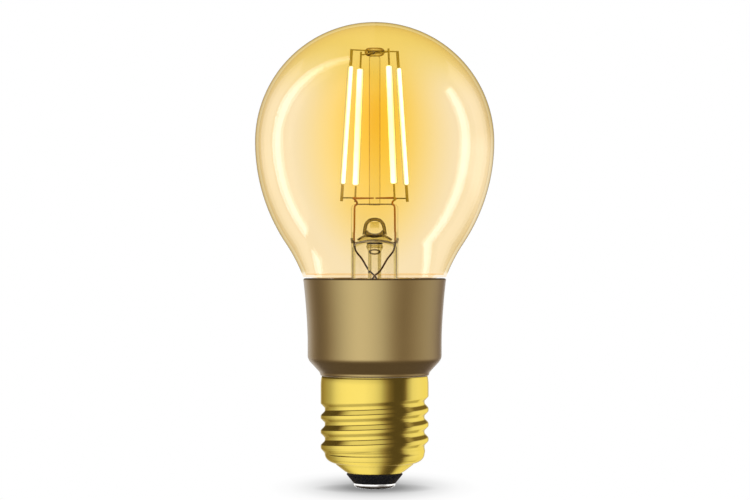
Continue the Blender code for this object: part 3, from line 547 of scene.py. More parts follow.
# The painted glow: a Layer Weight taken against the direction from a point among the filaments
# tells how close the view passes to that point, and the glass is tinted deeper there.
tall = amber.node("CombineXYZ", {0: x, 1: y, 2: (z - PAINTED_GLOW_LEVEL) * PAINTED_GLOW_STRETCH})
outward = amber.vector("NORMALIZE", tall)
aside = (1 - (1 - amber.facing(Normal=outward)) ** 2).math("SQRT")
glow = (1 - aside / PAINTED_GLOW_SPREAD).clamp() ** 1.5
crown = z.between(*CROWN)
free = z.between((GLASS_SEAT + 0.6) * MM, (GLASS_SEAT + 1.8) * MM)
normal = amber.node("TexCoord", out="Normal")
near = amber.vector("DOT_PRODUCT", normal, outward, out="Value").between(-0.05, 0.05)
outside = abs(near - amber.node("NewGeometry", out="Backfacing"))
rim = facing**12 * outside * free
print("amber glass: masks for the glow, the crown, the seat and the rim")

# %% [markdown]
# The glass takes its tints one over the other, each where its mask says, and then the mirror.

# %% The tints of the glass
SIDE_TINT = (1, 0.946, 0.832)
PLAIN_SHINE = 0.022
FAR_SHARE = 0.15

through = amber.clear(SIDE_TINT)
for share, tint in (
    # the painted glow of the lit filaments
    (glow, (1, 0.84, 0.3)),  # round the lit filaments
    (crown, (0.982, 0.902, 0.605)),  # at the crown
    (1 - free, (1, 0.94, 0.83)),  # where the glass sits on the collar
    (facing**6 * free * (outside * 0.5 + 0.5), (0.9, 0.8, 0.58)),  # towards the edges
    (facing**5 * outside * free, (1, 0.79, 0.28)),  # in the thickness of the wall
    (rim, (0.08, 0.07, 0.06)),  # the outline
):
    through = amber.blend(share, through, amber.clear(tint))
mirror = amber.node("BsdfGlossy", {"Color": WHITE, "Roughness": 0.02})
edge_shine = facing**5 * free * (0.5 - crown * 0.28)
shine = PLAIN_SHINE + edge_shine * (outside * 0.6 + 0.4)
shine = shine * (near * (1 - FAR_SHARE) + FAR_SHARE) * (1 - rim)
amber.surface(amber.blend(shine, through, mirror))
finish(bulb_glass, amber, "amber_glass", "glass_envelope")

# %% [markdown]
# Tall strip lamps draw the long highlights on the glass. They shine on the glass alone, which
# light linking allows, so that the metal below keeps its own calm reflections. The left one leans
# towards the camera above the middle of the bulb and reaches high, so it is made of three lamps.


# %% Strip lamps for the glass
GLASS_ONLY = bpy.data.collections.new("glass_only")
GLASS_ONLY.objects.link(bulb_glass)
STRIP_DISTANCE = 1000
STRIP_LEVEL = 80


def strip_lamp(name, middle, half_width, bottom, top, radiance, lean=0):
    """An upright lamp seen from the bulb over a span of directions, given in degrees.

    A lamp that leans keeps its foot in place and has its head moved towards the camera.
    """
    middle, half_width = radians(middle), radians(half_width)
    low, high = [STRIP_DISTANCE * tan(radians(a)) for a in (bottom, top)]
    aside = tan(radians(lean)) * (high - low) / 2
    across = STRIP_DISTANCE * sin(middle) - aside * cos(middle)
    along = -STRIP_DISTANCE * cos(middle) - aside * sin(middle)
    place = Vector((across, along, STRIP_LEVEL + (low + high) / 2)) * MM
    turn = Vector((-sin(middle), cos(middle), 0)).to_track_quat("-Z", "Y").to_euler()
    turn.rotate_axis("Z", radians(lean))
    bpy.ops.object.light_add(type="AREA", location=place, rotation=turn)
    lamp = named(name)
    lamp.data.shape = "RECTANGLE"
    lamp.data.size = 2 * STRIP_DISTANCE * tan(half_width) * MM
    lamp.data.size_y = (high - low) * MM
    lamp.data.energy = radiance * lamp.data.size * lamp.data.size_y * pi
    lamp.visible_camera = lamp.visible_transmission = False
    lamp.light_linking.receiver_collection = GLASS_ONLY


strip_lamp("left_strip", -107.5, 6.5, -37, 15, 5.8)
strip_lamp("left_strip_head", -107.5, 7, 15, 56, 5.8, lean=-6)
strip_lamp("left_strip_tip", -100.2, 8.5, 56, 74, 4, lean=-6)
strip_lamp("right_strip", 97, 6.2, -58, 36, 5.2)
strip_lamp("left_back_strip", -129, 11, -40, 40, 0.8)
strip_lamp("right_back_strip", 125, 12, -40, 40, 0.8)

# %% [markdown]
# Beyond the strips the glass mirrors a tall soft box in front on the left, a low bright wall on
# each side and a little light from behind.


# %% Surroundings of the glass
def soft_box(look, middle, half_width, half_height, edge, level, edge_height):
    """How much of a soft box is seen in a direction, from its angles in degrees."""
    azimuth, elevation = look
    across, along = abs(azimuth - middle), abs(elevation - level)
    down = along.between(half_height, half_height + edge_height, 1, 0)
    return across.between(half_width, half_width + edge, 1, 0) * down


def glass_light(sheet, outward):
    look = directions(sheet, outward)
    tall = soft_box(look, -24, 14, 34, 34, 14, 24)
    left_wing = soft_box(look, -122, 16, 3, 14, -3, 7)
    right_wall = soft_box(look, 128, 28, 4, 20, -3, 9)
    left_back = look[0].between(-168, -148, 0.45, 0)
    right_back = look[0].between(150, 170, 0, 0.2)
    return tall * 1.1 + left_wing * 0.35 + right_wall * 0.9 + left_back + right_back + SHADE


glass_pieces = surroundings("glass_surroundings", 2, glass_light, 1, bulb_glass)

# %% [markdown]
# ## The collar
#
# The collar hides the driver and the radio. It is a thin metal-finished shell that widens a
# little towards the glass and rounds in to the brass below. Its inside has a ledge for the glass
# neck, a chamber, and a spigot that plugs into the brass.

# %% The shape of the collar
COLLAR_TOP = span("collar_housing")[1].z
LIP_BOTTOM = 27.55
CHAMFER_TOP = 32.52
CHAMFER_HEIGHT = 1.7
CHAMFER_DEPTH = 0.73
FLARE_BOTTOM = 36.0
COLLAR_RADIUS = 16.4
FLARE = 1.1

outline = []
for i in range(19):
    share = 1 - i / 18
    radius = COLLAR_RADIUS + FLARE * share**1.6
    outline.append((radius, FLARE_BOTTOM + (COLLAR_TOP - FLARE_BOTTOM) * share))
rim = outline[0]
edge = [(0.5, 0), (0.33, 0.03), (0.19, 0.11), (0.09, 0.22), (0.03, 0.34)]
outline[0] = (rim[0] - 0.01, rim[1] - 0.5)
outline = [(rim[0] - across, rim[1] - down) for across, down in edge] + outline
outline += [(COLLAR_RADIUS, CHAMFER_TOP)]
for i in range(1, 9):
    t = i / 8
    outline.append((COLLAR_RADIUS - CHAMFER_DEPTH * t**2, CHAMFER_TOP - CHAMFER_HEIGHT * t))
outline += [
    (13.6, 28.58), (13.47, 28.4), (13.4, 28.24), (13.36, 28.1), (13.33, 27.96),
    (13.29, 27.83), (13.23, 27.73), (13.15, 27.65), (13.05, 27.6), (12.9, 27.58),
]
inside = [
    (12.6, LIP_BOTTOM), (12.6, 24.5), (11.8, 24.5), (11.8, 29.4), (14.2, 32.4),
    (14.2, 41.2), (15.8, 41.2), (15.8, COLLAR_TOP),
]
collar = turned("collar_shell", outline + inside, steps=128, angle=28, closed=True)

# %% [markdown]
# The finish is a satin champagne metal under a thin clear lacquer. Fine grain in the metal spreads
# the reflections, and the lacquer turns the far edges greyer, where it mirrors the room most.

# %% The champagne finish
satin = new_material("satin_champagne")
grain, cloud = satin.cloud(9000, 2), satin.cloud(180, 3)
satin.principled(
    Base_Color=satin.mix(cloud, (0.55, 0.415, 0.16), (0.58, 0.44, 0.172)),
    Metallic=1,
    Roughness=cloud * 0.06 + 0.27,
    Normal=satin.bump(0.06, 0.02, grain),
    Coat_Weight=1,
    Coat_Roughness=0.25,
)
finish(collar, satin, "champagne_metal", "collar_housing")

# %% [markdown]
# Satin metal needs broad soft boxes. The main one stands in front on the left, with a weaker one
# on the right and one far behind on the left, and below them the room is in shade.


# %% Surroundings of the collar
COLLAR_SIDES = [
    (-90, 0.6), (-78, 0.62), (-70, 0.52), (-62, 0.3), (-54, 0.2), (-45, 0.29), (-37, 0.5),
    (-30, 0.7), (-23, 0.9), (-15, 1.05), (-9, 1.04), (0, 0.9), (6, 0.76), (11, 0.56),
    (17, 0.38), (23, 0.28), (30, 0.33), (37, 0.44), (46, 0.53), (53, 0.56), (61, 0.47),
    (71, 0.26), (80, 0.27), (90, 0.6),
]
COLLAR_SLOPES = [(-90, 0), (-30, 0), (-16, 1), (12, 1), (26, 0), (90, 0)]


def collar_light(sheet, outward):
    side, slope, behind = slopes(sheet, outward)
    around = sheet.graph(side, COLLAR_SIDES)
    around = around + (0.6 - around) * behind
    dim = slope.between(12, 26, 0.14, SHADE)
    return (around - dim) * sheet.graph(slope, COLLAR_SLOPES) + dim


surroundings("collar_surroundings", 2.1, collar_light, 0.75, collar)

# %% [markdown]
# ## The screw cap
#
# The cap is thin brass sheet with a rolled thread and a rounded bowl below it. The sleeve is
# turned with close rows of points, and each point is then moved in by the depth of the groove at
# its place. The groove is a right-handed helix with a pitch of 3.629 mm. It comes in at the back,
# is whole at the right-hand side, and fades out just above the bowl.

# %% The brass shell
CREST_RADIUS = span("screw_shell")[1].x
THREAD_TOP = 24.2
THREAD_BOTTOM = 8.4
BRASS_WALL = 0.3
THREAD_DEPTH = 1
THREAD_PITCH = 3.629
THREAD_RUNOUT = 1.6
THREAD_LEAD_IN = 3.06
ROOT_HALF = 0.0615
UPPER_FLANK, LOWER_FLANK = 0.357, 0.39
UPPER_ROUND = 0.2
BOWL_END = (9.75, 6.15)
BOWL_TURN = radians(75)


def ease(share):
    """A smooth step from 0 to 1."""
    share = min(1, max(0, share))
    return share * share * (3 - 2 * share)


def straight(share, rounding):
    """An even slope from 0 to 1 whose two ends are rounded."""
    share = min(1, max(0, share))
    if share > 0.5:
        return 1 - straight(1 - share, rounding)
    if share < rounding:
        return share * share / (2 * rounding * (1 - rounding))
    return (share - rounding / 2) / (1 - rounding)


def groove(angle, height):
    """How deep the thread's groove is at a place on the shell."""
    first = THREAD_TOP - THREAD_LEAD_IN + THREAD_PITCH * angle / (2 * pi)
    middle = first + THREAD_PITCH * round((height - first) / THREAD_PITCH)
    above = (height - middle) / THREAD_PITCH
    if above > 0:
        rise = straight((above - ROOT_HALF) / UPPER_FLANK, UPPER_ROUND)
    else:
        rise = ease((-above - ROOT_HALF) / LOWER_FLANK)
    fade = ease((THREAD_TOP - THREAD_RUNOUT - middle) / THREAD_RUNOUT)
    fade *= ease((middle - THREAD_BOTTOM) / THREAD_RUNOUT)
    return THREAD_DEPTH * (1 - rise) * fade


ROWS = 140
outline = [
    (12.9, 27.53), (12.97, 27.37), (13.02, 27.24), (13.05, 27.1), (13.08, 26.88),
    (13.12, 26.6), (13.16, 26.2), (13.19, 25.8), (13.2, 25.4), (CREST_RADIUS, 25),
]
for i in range(ROWS + 1):
    height = THREAD_TOP - (THREAD_TOP - THREAD_BOTTOM) * i / ROWS
    tuck = 1 - ease((height - THREAD_BOTTOM) / THREAD_RUNOUT)
    outline.append((CREST_RADIUS - THREAD_DEPTH * tuck, height))
root = CREST_RADIUS - THREAD_DEPTH
bowl_width = (root - BOWL_END[0]) / (1 - cos(BOWL_TURN))
bowl_depth = (THREAD_BOTTOM - BOWL_END[1]) / sin(BOWL_TURN)
for i in range(1, 13):
    turn = BOWL_TURN * i / 12
    outline.append((root - bowl_width * (1 - cos(turn)), THREAD_BOTTOM - bowl_depth * sin(turn)))
outline += [(9.62, 6.1), (9.53, 6), (9.47, 5.88), (9.38, 5.78), (7.36, 4.2)]
outline += [(7.22, 4.11), (7.06, 4.05), (6.92, 4), (6.82, 3.92), (6.78, 3.82)]
cap = turned("cap_brass", outline, steps=192, angle=50)
for vertex in cap.data.vertices:
    across, deep, height = vertex.co / MM
    if THREAD_BOTTOM < height < THREAD_TOP:
        depth = groove(atan2(deep, across), height)
        share = 1 - depth / hypot(across, deep)
        vertex.co = Vector((across * share, deep * share, height)) * MM
add_wall(cap, BRASS_WALL)

# %% [markdown]
# Brass is polished by the rollers. Fine marks run round it, and they blur the mirror a little.

# %% The brass
brass = new_material("polished_brass")
sockets = {"Vector": brass.place(), "Scale": (60, 60, 4000)}
marks = brass.cloud(1, 3, brass.node("Mapping", sockets))
cloud = brass.cloud(140, 4)
brass.principled(
    Base_Color=brass.mix(cloud, (0.86, 0.67, 0.13), (0.9, 0.72, 0.16)),
    Metallic=1,
    Roughness=cloud * 0.08 + 0.1,
    Specular_Tint=(1, 0.9, 0.5),
    Normal=brass.bump(0.05, 0.03, marks),
)
finish(cap, brass, "brass", "screw_shell")

# %% [markdown]
# Black glass holds the contact in the middle of the brass. Its colour and its gloss waver a
# little, as on most moulded things, so one function makes this look for it and for others.


# %% The insulator
def speckled(name, dark, light, roughness, scale, relief, spread=0.15):
    """A material whose colour and gloss waver between two values, with a fine relief."""
    sheet = new_material(name)
    cloud = sheet.cloud(scale, 3)
    sheet.principled(
        Base_Color=sheet.mix(cloud, dark, light),
        Roughness=cloud * spread + roughness,
        Normal=sheet.bump(relief, 0.05, cloud),
    )
    return sheet


insulator = turned(
    "cap_insulator",
    [
        (1.8, 5.6), (7.9, 5.6), (7.9, 5.2), (6.3, 4), (6.3, 3.66), (6.74, 3.62), (6.86, 3.52),
        (6.84, 3.36), (5.3, 1.5), (5.16, 1.32), (5.02, 1.22), (1.8, 1.22),
    ],
    angle=40,
    closed=True,
)
black = speckled("black_glass", (0.006, 0.007, 0.01), (0.014, 0.015, 0.02), 0.12, 500, 0.15, 0.1)
finish(insulator, black, "black_glass", "contact_insulator")

# %% [markdown]
# The contact itself is tinned, with a skin of solder that is never quite even. Its lowest part,
# which faces down to the floor, is painted darker as shade.

# %% The contact
contact = turned(
    "cap_contact",
    [
        (0, 5.9), (1.4, 5.9), (1.5, 5.8), (1.5, 1.2), (4.8, 1.2), (5.02, 1.15), (5.1, 1.02),
        (5.08, 0.86), (4.94, 0.58), (4.66, 0.32), (4.25, 0.12), (3.8, 0.02), (3.6, 0), (0, 0),
    ],
    angle=40,
)
tin = new_material("tinned_metal")
cloud = tin.cloud(700, 4)
# Painted shade: the tin is dark below 0.4 mm and grows bright up to 0.75 mm, where the contact
# faces the floor.
wear_and_shade = tin.mix(cloud, (0.12, 0.13, 0.14), (0.24, 0.25, 0.26))
bright = tin.mix(cloud, (0.78, 0.78, 0.76), (0.9, 0.9, 0.88))
level = tin.xyz(tin.place())[2]
tin.principled(
    Base_Color=tin.mix(level.between(0.4 * MM, 0.75 * MM), wear_and_shade, bright),
    Metallic=1,
    Roughness=cloud * 0.2 + 0.2,
    Normal=tin.bump(0.3, 0.1, cloud),
)
finish(contact, tin, "contact_metal", "centre_contact")

# %% [markdown]
# Polished brass needs the richest surroundings: a wide box on the left, a dark gap on the right
# with a bright wall beyond it, dim bands that draw thin dark lines along the thread, and a bright
# table under it all. They are drawn by the slope of brass that mirrors them to the front, which is
# half of their own angle. Thread flanks would also mirror each other and turn orange, so mirrored
# rays pass through the cap.


# %% Surroundings of the cap
CAP_SIDES = [
    (-90, 0.5), (-84, 0.25), (-77, 0.27), (-70, 0.36), (-62, 0.45), (-54, 0.56), (-44, 0.92),
    (-37, 1.06), (-29, 1.12), (-11, 1.12), (-5, 1.03), (0, 0.95), (5, 0.78), (10, 0.46),
    (16, 0.2), (22, 0.1), (30, 0.09), (34, 0.15), (38, 0.55), (44, 0.92), (53, 1.02), (75, 1),
    (85, 0.9), (90, 0.5),
]
BELOW = [
    (-90, 0.1), (-78, 0.4), (-69, 0.95), (-49, 0.95), (-47, 0.45), (-45.5, 0.45), (-43, 0.9),
]
LEFT_SLOPES = BELOW + [(-14, 0.8), (-7, 1), (4, 1), (12, 0.04), (90, 0.04)]
FRONT_SLOPES = BELOW + [(-9, 1), (2, 1), (9, 0.75), (14, 0.1), (24, 0.1), (33, 0.8), (90, 0.85)]
RIGHT_SLOPES = BELOW + [(-8, 1), (8, 1), (24, 0.85), (35, 0.2), (90, 0.2)]
CONTACT_SIDES = [(-90, 1.2), (-20, 1.6), (5, 1.6), (13, 0.35), (29, 0.5), (38, 1.6), (90, 1.2)]
CONTACT_SLOPES = [(-90, 0), (-24, 0), (-15, 1), (90, 1)]


def cap_light(sheet, outward):
    side, slope, behind = slopes(sheet, outward)
    share = sheet.graph(slope, FRONT_SLOPES)
    far_left, far_right = side.between(-52, -26, 1, 0), side.between(34, 48)
    share = share + (sheet.graph(slope, LEFT_SLOPES) - share) * far_left
    share = share + (sheet.graph(slope, RIGHT_SLOPES) - share) * far_right
    around = sheet.graph(side, CAP_SIDES)
    return (around + (0.6 - around) * behind) * share


def contact_light(sheet, outward):
    side, slope, _ = slopes(sheet, outward)
    return sheet.graph(side, CONTACT_SIDES) * sheet.graph(slope, CONTACT_SLOPES)


surroundings("cap_surroundings", 2.2, cap_light, 0.6, cap)
surroundings("contact_surroundings", 2.3, contact_light, 0.4, contact)

# %% [markdown]
# ## The glass stem
#
# The stem is a glass tube. Its foot flares out to seal the neck, and its top was pinched flat
# while hot, round the two lead wires. The hole with a raised rim is where the bulb was pumped
# out, through the thin exhaust tube below. The tube is turned first and then pinched.

# %% The stem
PRESS_TOP = span("glass_stem")[1].z
STEM_RADIUS = 5.8
STEM_BORE = 5.3
PINCH_TOP = PRESS_TOP - 6.8
PINCH_BOTTOM = PINCH_TOP - 2
PINCH_HEIGHT = 4.5
FLARE_RIM = 13.6
FLARE_HEIGHT = 8
PRESS_HALF = 1.6
PRESS_ROUND = 1.2


def flare(bore, rim_level):
    """The quarter-oval sweep from the tube out to the flare's rim."""
    sweep = []
    for i in range(13):
        turn = pi / 2 * i / 12
        radius = FLARE_RIM - (FLARE_RIM - bore) * cos(turn)
        sweep.append((radius, rim_level + FLARE_HEIGHT * (1 - sin(turn))))
    return sweep


outline = [(0, PRESS_TOP), (1.5, PRESS_TOP), (3, PRESS_TOP)]
corner = (STEM_RADIUS - PRESS_ROUND, PRESS_TOP - PRESS_ROUND)
outline += arc(corner, PRESS_ROUND, pi / 2, 0, 6)
outline += [(STEM_RADIUS, PINCH_TOP + (PINCH_BOTTOM - PINCH_TOP) * i / 8) for i in range(9)]
outline += flare(STEM_RADIUS, NECK_BOTTOM + 0.5)
outline += flare(STEM_BORE, NECK_BOTTOM)[::-1]
ceiling_level = PINCH_BOTTOM - 0.15
outline += [(STEM_BORE, ceiling_level - 1.6), (STEM_BORE * 0.85, ceiling_level - 0.64)]
outline += [(STEM_BORE * 0.5, ceiling_level), (0, ceiling_level)]
stem = turned("stem_glass", outline, angle=50)
for vertex in stem.data.vertices:
    share = ease((vertex.co.z / MM - PINCH_BOTTOM) / PINCH_HEIGHT)
    limit = (STEM_RADIUS + (PRESS_HALF - STEM_RADIUS) * share) * MM
    vertex.co.y = min(limit, max(-limit, vertex.co.y))
print("stem:", len(outline), "points in its outline")

# %% [markdown]
# The rim of the port is a short ring across the press. It is joined on with a Boolean, and a bore
# is cut through both.


# %% The port
PORT_LEVEL = PRESS_TOP - 5.8


def work_on_port(name, profile, operation):
    """Join or cut the stem with a piece that is turned about an axis along Y."""
    helper = turned(name, profile, steps=48)
    helper.rotation_euler = (pi / 2, 0, 0)
    helper.location = (0, 0, PORT_LEVEL * MM)
    fix_place(helper)
    modify(stem, "BOOLEAN", operation=operation, object=helper, solver="EXACT")
    bpy.data.objects.remove(helper, do_unlink=True)


rim = [(0, -2), (2.45, -2), (2.6, -1.85), (2.6, 1.85), (2.45, 2), (0, 2)]
work_on_port("port_rim", rim, "UNION")
work_on_port("port_bore", [(0, -3), (1.8, -3), (1.8, 3), (0, 3)], "DIFFERENCE")
bpy.context.view_layer.objects.active = stem
mode("EDIT")
tidy(40)
print("the port is", round(PORT_LEVEL, 1), "mm up the axis")

# %% [markdown]
# Clear glass shows as thin darker lines along its edges, where light has the longest way through
# it, and as almost nothing in between. The tint is deepened towards the edges for that. Thin tubes
# hardly move what is behind them, so the glass bends light very little here and stays clean.


# %% Clear glass
def clear_glass(name, middle, edge, start, end):
    """Clear glass whose colour goes from middle to edge as its surface turns away."""
    sheet = new_material(name)
    sheet.principled(
        Base_Color=sheet.mix(sheet.facing().between(start, end), middle, edge),
        Roughness=0,
        IOR=1.03,
        Transmission_Weight=1,
        Coat_Weight=0.6,
    )
    return sheet


stem_look = clear_glass("stem_glass", (0.99, 0.98, 0.95), (0.8, 0.75, 0.44), 0.42, 0.62)
tube_look = clear_glass("tube_glass", (0.98, 0.97, 0.93), (0.66, 0.61, 0.34), 0.2, 0.36)
haze_look = clear_glass("haze_glass", (0.66, 0.6, 0.3), (0.45, 0.4, 0.18), 0.1, 0.6)
rod_look = clear_glass("rod_glass", (0.99, 0.98, 0.93), (0.68, 0.52, 0.12), 0.38, 0.68)
bead_look = clear_glass("bead_glass", (0.97, 0.93, 0.8), (0.44, 0.3, 0.05), 0.12, 0.5)
fold_look = clear_glass("fold_glass", (0.26, 0.21, 0.08), (0.07, 0.055, 0.02), 0.05, 0.5)
finish(stem, stem_look, "clear_glass", "glass_stem")
glass_pieces.objects.link(stem)

# %% [markdown]
# Where the press was squeezed, the glass has folds. They show as dark olive lines: a thick ring
# round the port, a saddle under it where the press closes the tube, a seal round each lead wire,
# the soft top edge of the press, and the mouth of the exhaust tube. Between some of them the glass
# is thick and looks hazy. Each is a round bar along a line in the plane of the press, or a ring.


# %% Drawing a fold
def ring(name, level, radius, thickness, tilt=0):
    """A ring of glass round the bulb's axis, leaned back by a tilt."""
    deselect()
    bpy.ops.mesh.primitive_torus_add(
        major_segments=64,
        minor_segments=16,
        major_radius=radius * MM,
        minor_radius=thickness * MM,
        rotation=(tilt, 0, 0),
        location=(0, 0, level * MM),
    )
    piece = named(name)
    fix_place(piece)
    bpy.ops.object.shade_smooth()
    finish(piece, fold_look, "clear_glass", "glass_stem")


def fold(name, path, radius, look=fold_look, node="glass_stem"):
    places = [(across, 0, level) for across, level in path]
    piece = wire(name, smooth_path(places, steps=6), radius)
    finish(piece, look, "clear_glass", node)


def raised(path, level, side=1):
    """A path lifted to a level, on the right (1) or mirrored to the left (-1)."""
    return [(side * across, level + up) for across, up in path]


# %% [markdown]
# Most folds are alike on both sides, so each line is given from one end to the middle, and the
# other half is mirrored. Heights are above the foot of the press or, for its edge, its top.

# %% Folds in the press
foot = PINCH_BOTTOM
ARCH = [(2.55, 1.2), (2.44, 2.1), (2.32, 2.9), (2, 3.95), (1.15, 4.8), (0, 5.06)]
EDGE = [(4.95, -1), (4.75, -0.45), (4.3, -0.14), (3.7, -0.06), (0, -0.06)]
for name, radius, look, level, path in (
    ("port_arch", 0.44, fold_look, foot, ARCH),
    ("port_cup", 0.5, fold_look, foot, [(2.25, 2), (1.6, 1.3), (0.8, 1), (0, 0.92)]),
    ("saddle_top", 0.26, fold_look, foot, [(4.1, 0), (2.6, 0.85), (1.2, 0.86), (0, 0.86)]),
    ("saddle_haze", 0.4, haze_look, foot, [(3.8, -0.12), (1.8, 0.36), (0, 0.46)]),
    ("saddle_foot", 0.17, fold_look, foot, [(5.1, -0.72), (3.5, -0.48), (1.6, -0.12), (0, 0)]),
    ("press_edge", 0.17, fold_look, PRESS_TOP, EDGE),
):
    fold(name, raised(path, level, -1) + raised(path[-2::-1], level), radius, look)
for side in (-1, 1):
    seal = raised([(5.55, 0.5), (5.5, -0.2), (5.1, -0.7)], foot, side)
    fold(f"lead_seal_{side + 1}", seal, 0.36)
fold("mouth_haze", [(-1.75, foot - 1.5), (1.75, foot - 1.5)], 0.42, haze_look)
ring("mouth_ring", foot - 2.85, 1.2, 0.21, radians(26))
ring("mouth_lip", foot - 0.68, 1.7, 0.26)

# %% [markdown]
# The exhaust tube hangs in the stem and is melted shut at its tail. The rod stands on the press
# and carries the bead, which holds the two top wires.

# %% The tube, the rod and the bead
TUBE_RADIUS = 1.6
tail, top = [corner.z for corner in span("exhaust_tube")]
exhaust = turned(
    "exhaust_glass",
    [
        (0, tail + 1.6), (0.6, tail + 2), (1.1, tail + 3.2), (1.1, top), (TUBE_RADIUS, top),
        (1.9, top - 0.35), (2.1, top - 0.9), (2, top - 1.35), (1.75, top - 1.75),
        (TUBE_RADIUS, top - 2.2), (TUBE_RADIUS, tail + 1.6), (1.4, tail + 0.9),
        (0.96, tail + 0.4), (0, tail),
    ],
    steps=48,
    angle=60,
)
finish(exhaust, tube_look, "clear_glass", "exhaust_tube")

top = span("support_rod")[1].z
rod = turned(
    "rod_glass",
    [
        (0, top + 0.2), (1.2, top + 0.2), (1.36, top), (1.38, top - 0.3),
        (1.38, PRESS_TOP), (1.36, PRESS_TOP - 0.2), (1.3, PRESS_TOP - 0.3), (0, PRESS_TOP - 0.3),
    ],
    steps=48,
    angle=60,
)
finish(rod, rod_look, "clear_glass", "support_rod")

bottom, top = [corner.z for corner in span("support_bead")]
middle = (bottom + top) / 2
outline = [(0, top), (1.2, top), *arc((1.45, middle), 1, pi / 2, -pi / 2, 14)]
outline += [(1.2, bottom), (0, bottom)]
bead = turned("bead_glass", outline, steps=64, angle=60)
finish(bead, bead_look, "clear_glass", "support_bead")
core = [(-1.7, middle), (0, middle - 0.1), (1.7, middle - 0.08), (2.2, middle + 0.2)]
fold("bead_core", core, 0.24, node="support_bead")

# %% [markdown]
# ## Filaments and wires
#
# An LED filament is a row of tiny chips on a strip, under soft silicone full of phosphor. The
# silicone is squeezed on as an oval bar that is broader along the ring of filaments. One bar is
# modelled upright at the origin, and each copy is leaned and turned to its place.

# %% The filaments
TURN = radians(31)
FILAMENTS = {
    "right_back": TURN,
    "left_back": TURN + pi / 2,
    "left_front": TURN + pi,
    "right_front": TURN - pi / 2,
}
TOP_RADIUS, BOTTOM_RADIUS = 6.83, 9.08
FILAMENT_LENGTH = 28.9
FILAMENT_MIDDLE = 88.7
LEAN = atan2(BOTTOM_RADIUS - TOP_RADIUS, FILAMENT_LENGTH)


def around_axis(radius, angle, height):
    return Vector((radius * cos(angle), radius * sin(angle), height))


def put_copy(plain, name, angle, offset=0):
    """Copy an upright piece, lean the copy and turn it to its side of the bulb."""
    piece = plain.copy()
    piece.data = plain.data.copy()
    piece.name = piece.data.name = name
    scene.collection.objects.link(piece)
    radius = (TOP_RADIUS + BOTTOM_RADIUS) / 2 - offset * sin(LEAN)
    height = FILAMENT_MIDDLE + offset * cos(LEAN)
    piece.rotation_euler = (0, -LEAN, angle)
    piece.location = around_axis(radius, angle, height) * MM
    fix_place(piece)
    return piece


# %% [markdown]
# The phosphor glows almost white. Towards its edges it is turned away and looks darker, which
# gives each bar a thin outline. The tabs and the upper wires are nickel iron.

# %% The phosphor and the nickel iron
phosphor = new_material("glowing_phosphor")
facing, cloud = phosphor.facing(), phosphor.cloud(900, 2)
hot = phosphor.mix(cloud, (1, 0.97, 0.68), (1, 0.98, 0.92))
hot = phosphor.mix(facing.between(0.06, 0.2), hot, (0.4, 0.4, 0.46))
rim = facing.between(0.24, 0.34)
skin = phosphor.mix(cloud, (0.95, 0.75, 0.25), (1, 0.82, 0.35))
phosphor.principled(
    Base_Color=phosphor.mix(rim, skin, (0.42, 0.45, 0.24)),
    Roughness=0.45,
    Emission_Color=phosphor.mix(rim, hot, (0.11, 0.095, 0.08)),
    Emission_Strength=4,
)
nickel = new_material("nickel_iron")
cloud = nickel.cloud(1500, 3)
nickel.principled(
    Base_Color=nickel.mix(cloud, (0.46, 0.36, 0.05), (0.58, 0.46, 0.08)),
    Metallic=0.15,
    Roughness=cloud * 0.2 + 0.35,
)
print("phosphor and nickel iron are mixed")

# %% [markdown]
# Each filament stands for its own solid, and so do its two tabs, which carry it at its ends.

# %% The bars and their tabs
TAB_SIZE = (0.8, 0.1, 4.1)

half = FILAMENT_LENGTH / cos(LEAN) / 2
tip = [(0, half), (0.5, half), (0.8, half - 0.1), (0.95, half - 0.28), (1, half - 0.55)]
plain_bar = turned("filament_bar", tip + [(r, -z) for r, z in tip[::-1]], steps=32)
mode("EDIT")
bpy.ops.mesh.select_all(action="SELECT")
bpy.ops.transform.resize(value=(0.7, 1.02, 1))
mode("OBJECT")
deselect()
bpy.ops.mesh.primitive_cube_add(size=MM, location=(0, 0, 0))
plain_tab = bpy.context.object
mode("EDIT")
bpy.ops.transform.resize(value=TAB_SIZE)
bpy.ops.mesh.bevel(offset=0.03 * MM, segments=2, affect="EDGES")
tidy(60)
tab_offset = half + TAB_SIZE[2] / 2
for label, angle in FILAMENTS.items():
    piece = put_copy(plain_bar, "led_" + label, angle)
    finish(piece, phosphor, "phosphor", "filament_" + label)
    for end, direction in (("top", 1), ("bottom", -1)):
        tab = put_copy(plain_tab, f"led_tab_{label}_{end}", angle, direction * tab_offset)
        finish(tab, nickel, "nickel_iron", f"filament_tab_{label}_{end}")
for plain in (plain_bar, plain_tab):
    bpy.data.objects.remove(plain, do_unlink=True)

# %% [markdown]
# The wires are copper-clad. Under the press their skin is dark from the flame that sealed them in,
# and out at the tabs it is worn.

# %% The copper-clad look
copper = new_material("copper_clad")
cloud = copper.cloud(1200, 3)
aside, _, level = copper.xyz(copper.place())
bare = copper.mix(cloud, (0.78, 0.33, 0.02), (0.92, 0.42, 0.03))
wear_and_shade = copper.mix(cloud, (0.34, 0.28, 0.03), (0.44, 0.36, 0.05))
dark = copper.mix(cloud, (0.09, 0.045, 0.015), (0.16, 0.08, 0.03))
above = copper.mix(abs(aside).between(5.2 * MM, 5.6 * MM), bare, wear_and_shade)
copper.principled(
    Base_Color=copper.mix(level.between(60 * MM, 61 * MM), dark, above),
    Metallic=0.45,
    Roughness=cloud * 0.2 + 0.25,
)
print("copper: bare, worn and dark")

# %% [markdown]
# Two wires cross in the bead and join opposite filaments at the top. At the bottom each side has
# one bent arm that joins its two filaments.

# %% The top wires and the arms
WIRE = 0.17
TAB_GAP = 0.3
TOP_WIRE_LEVEL = 107.06
TOP_WIRE_STEP = 0.62
ARM_LEVEL = 71
ELBOW = 0.34


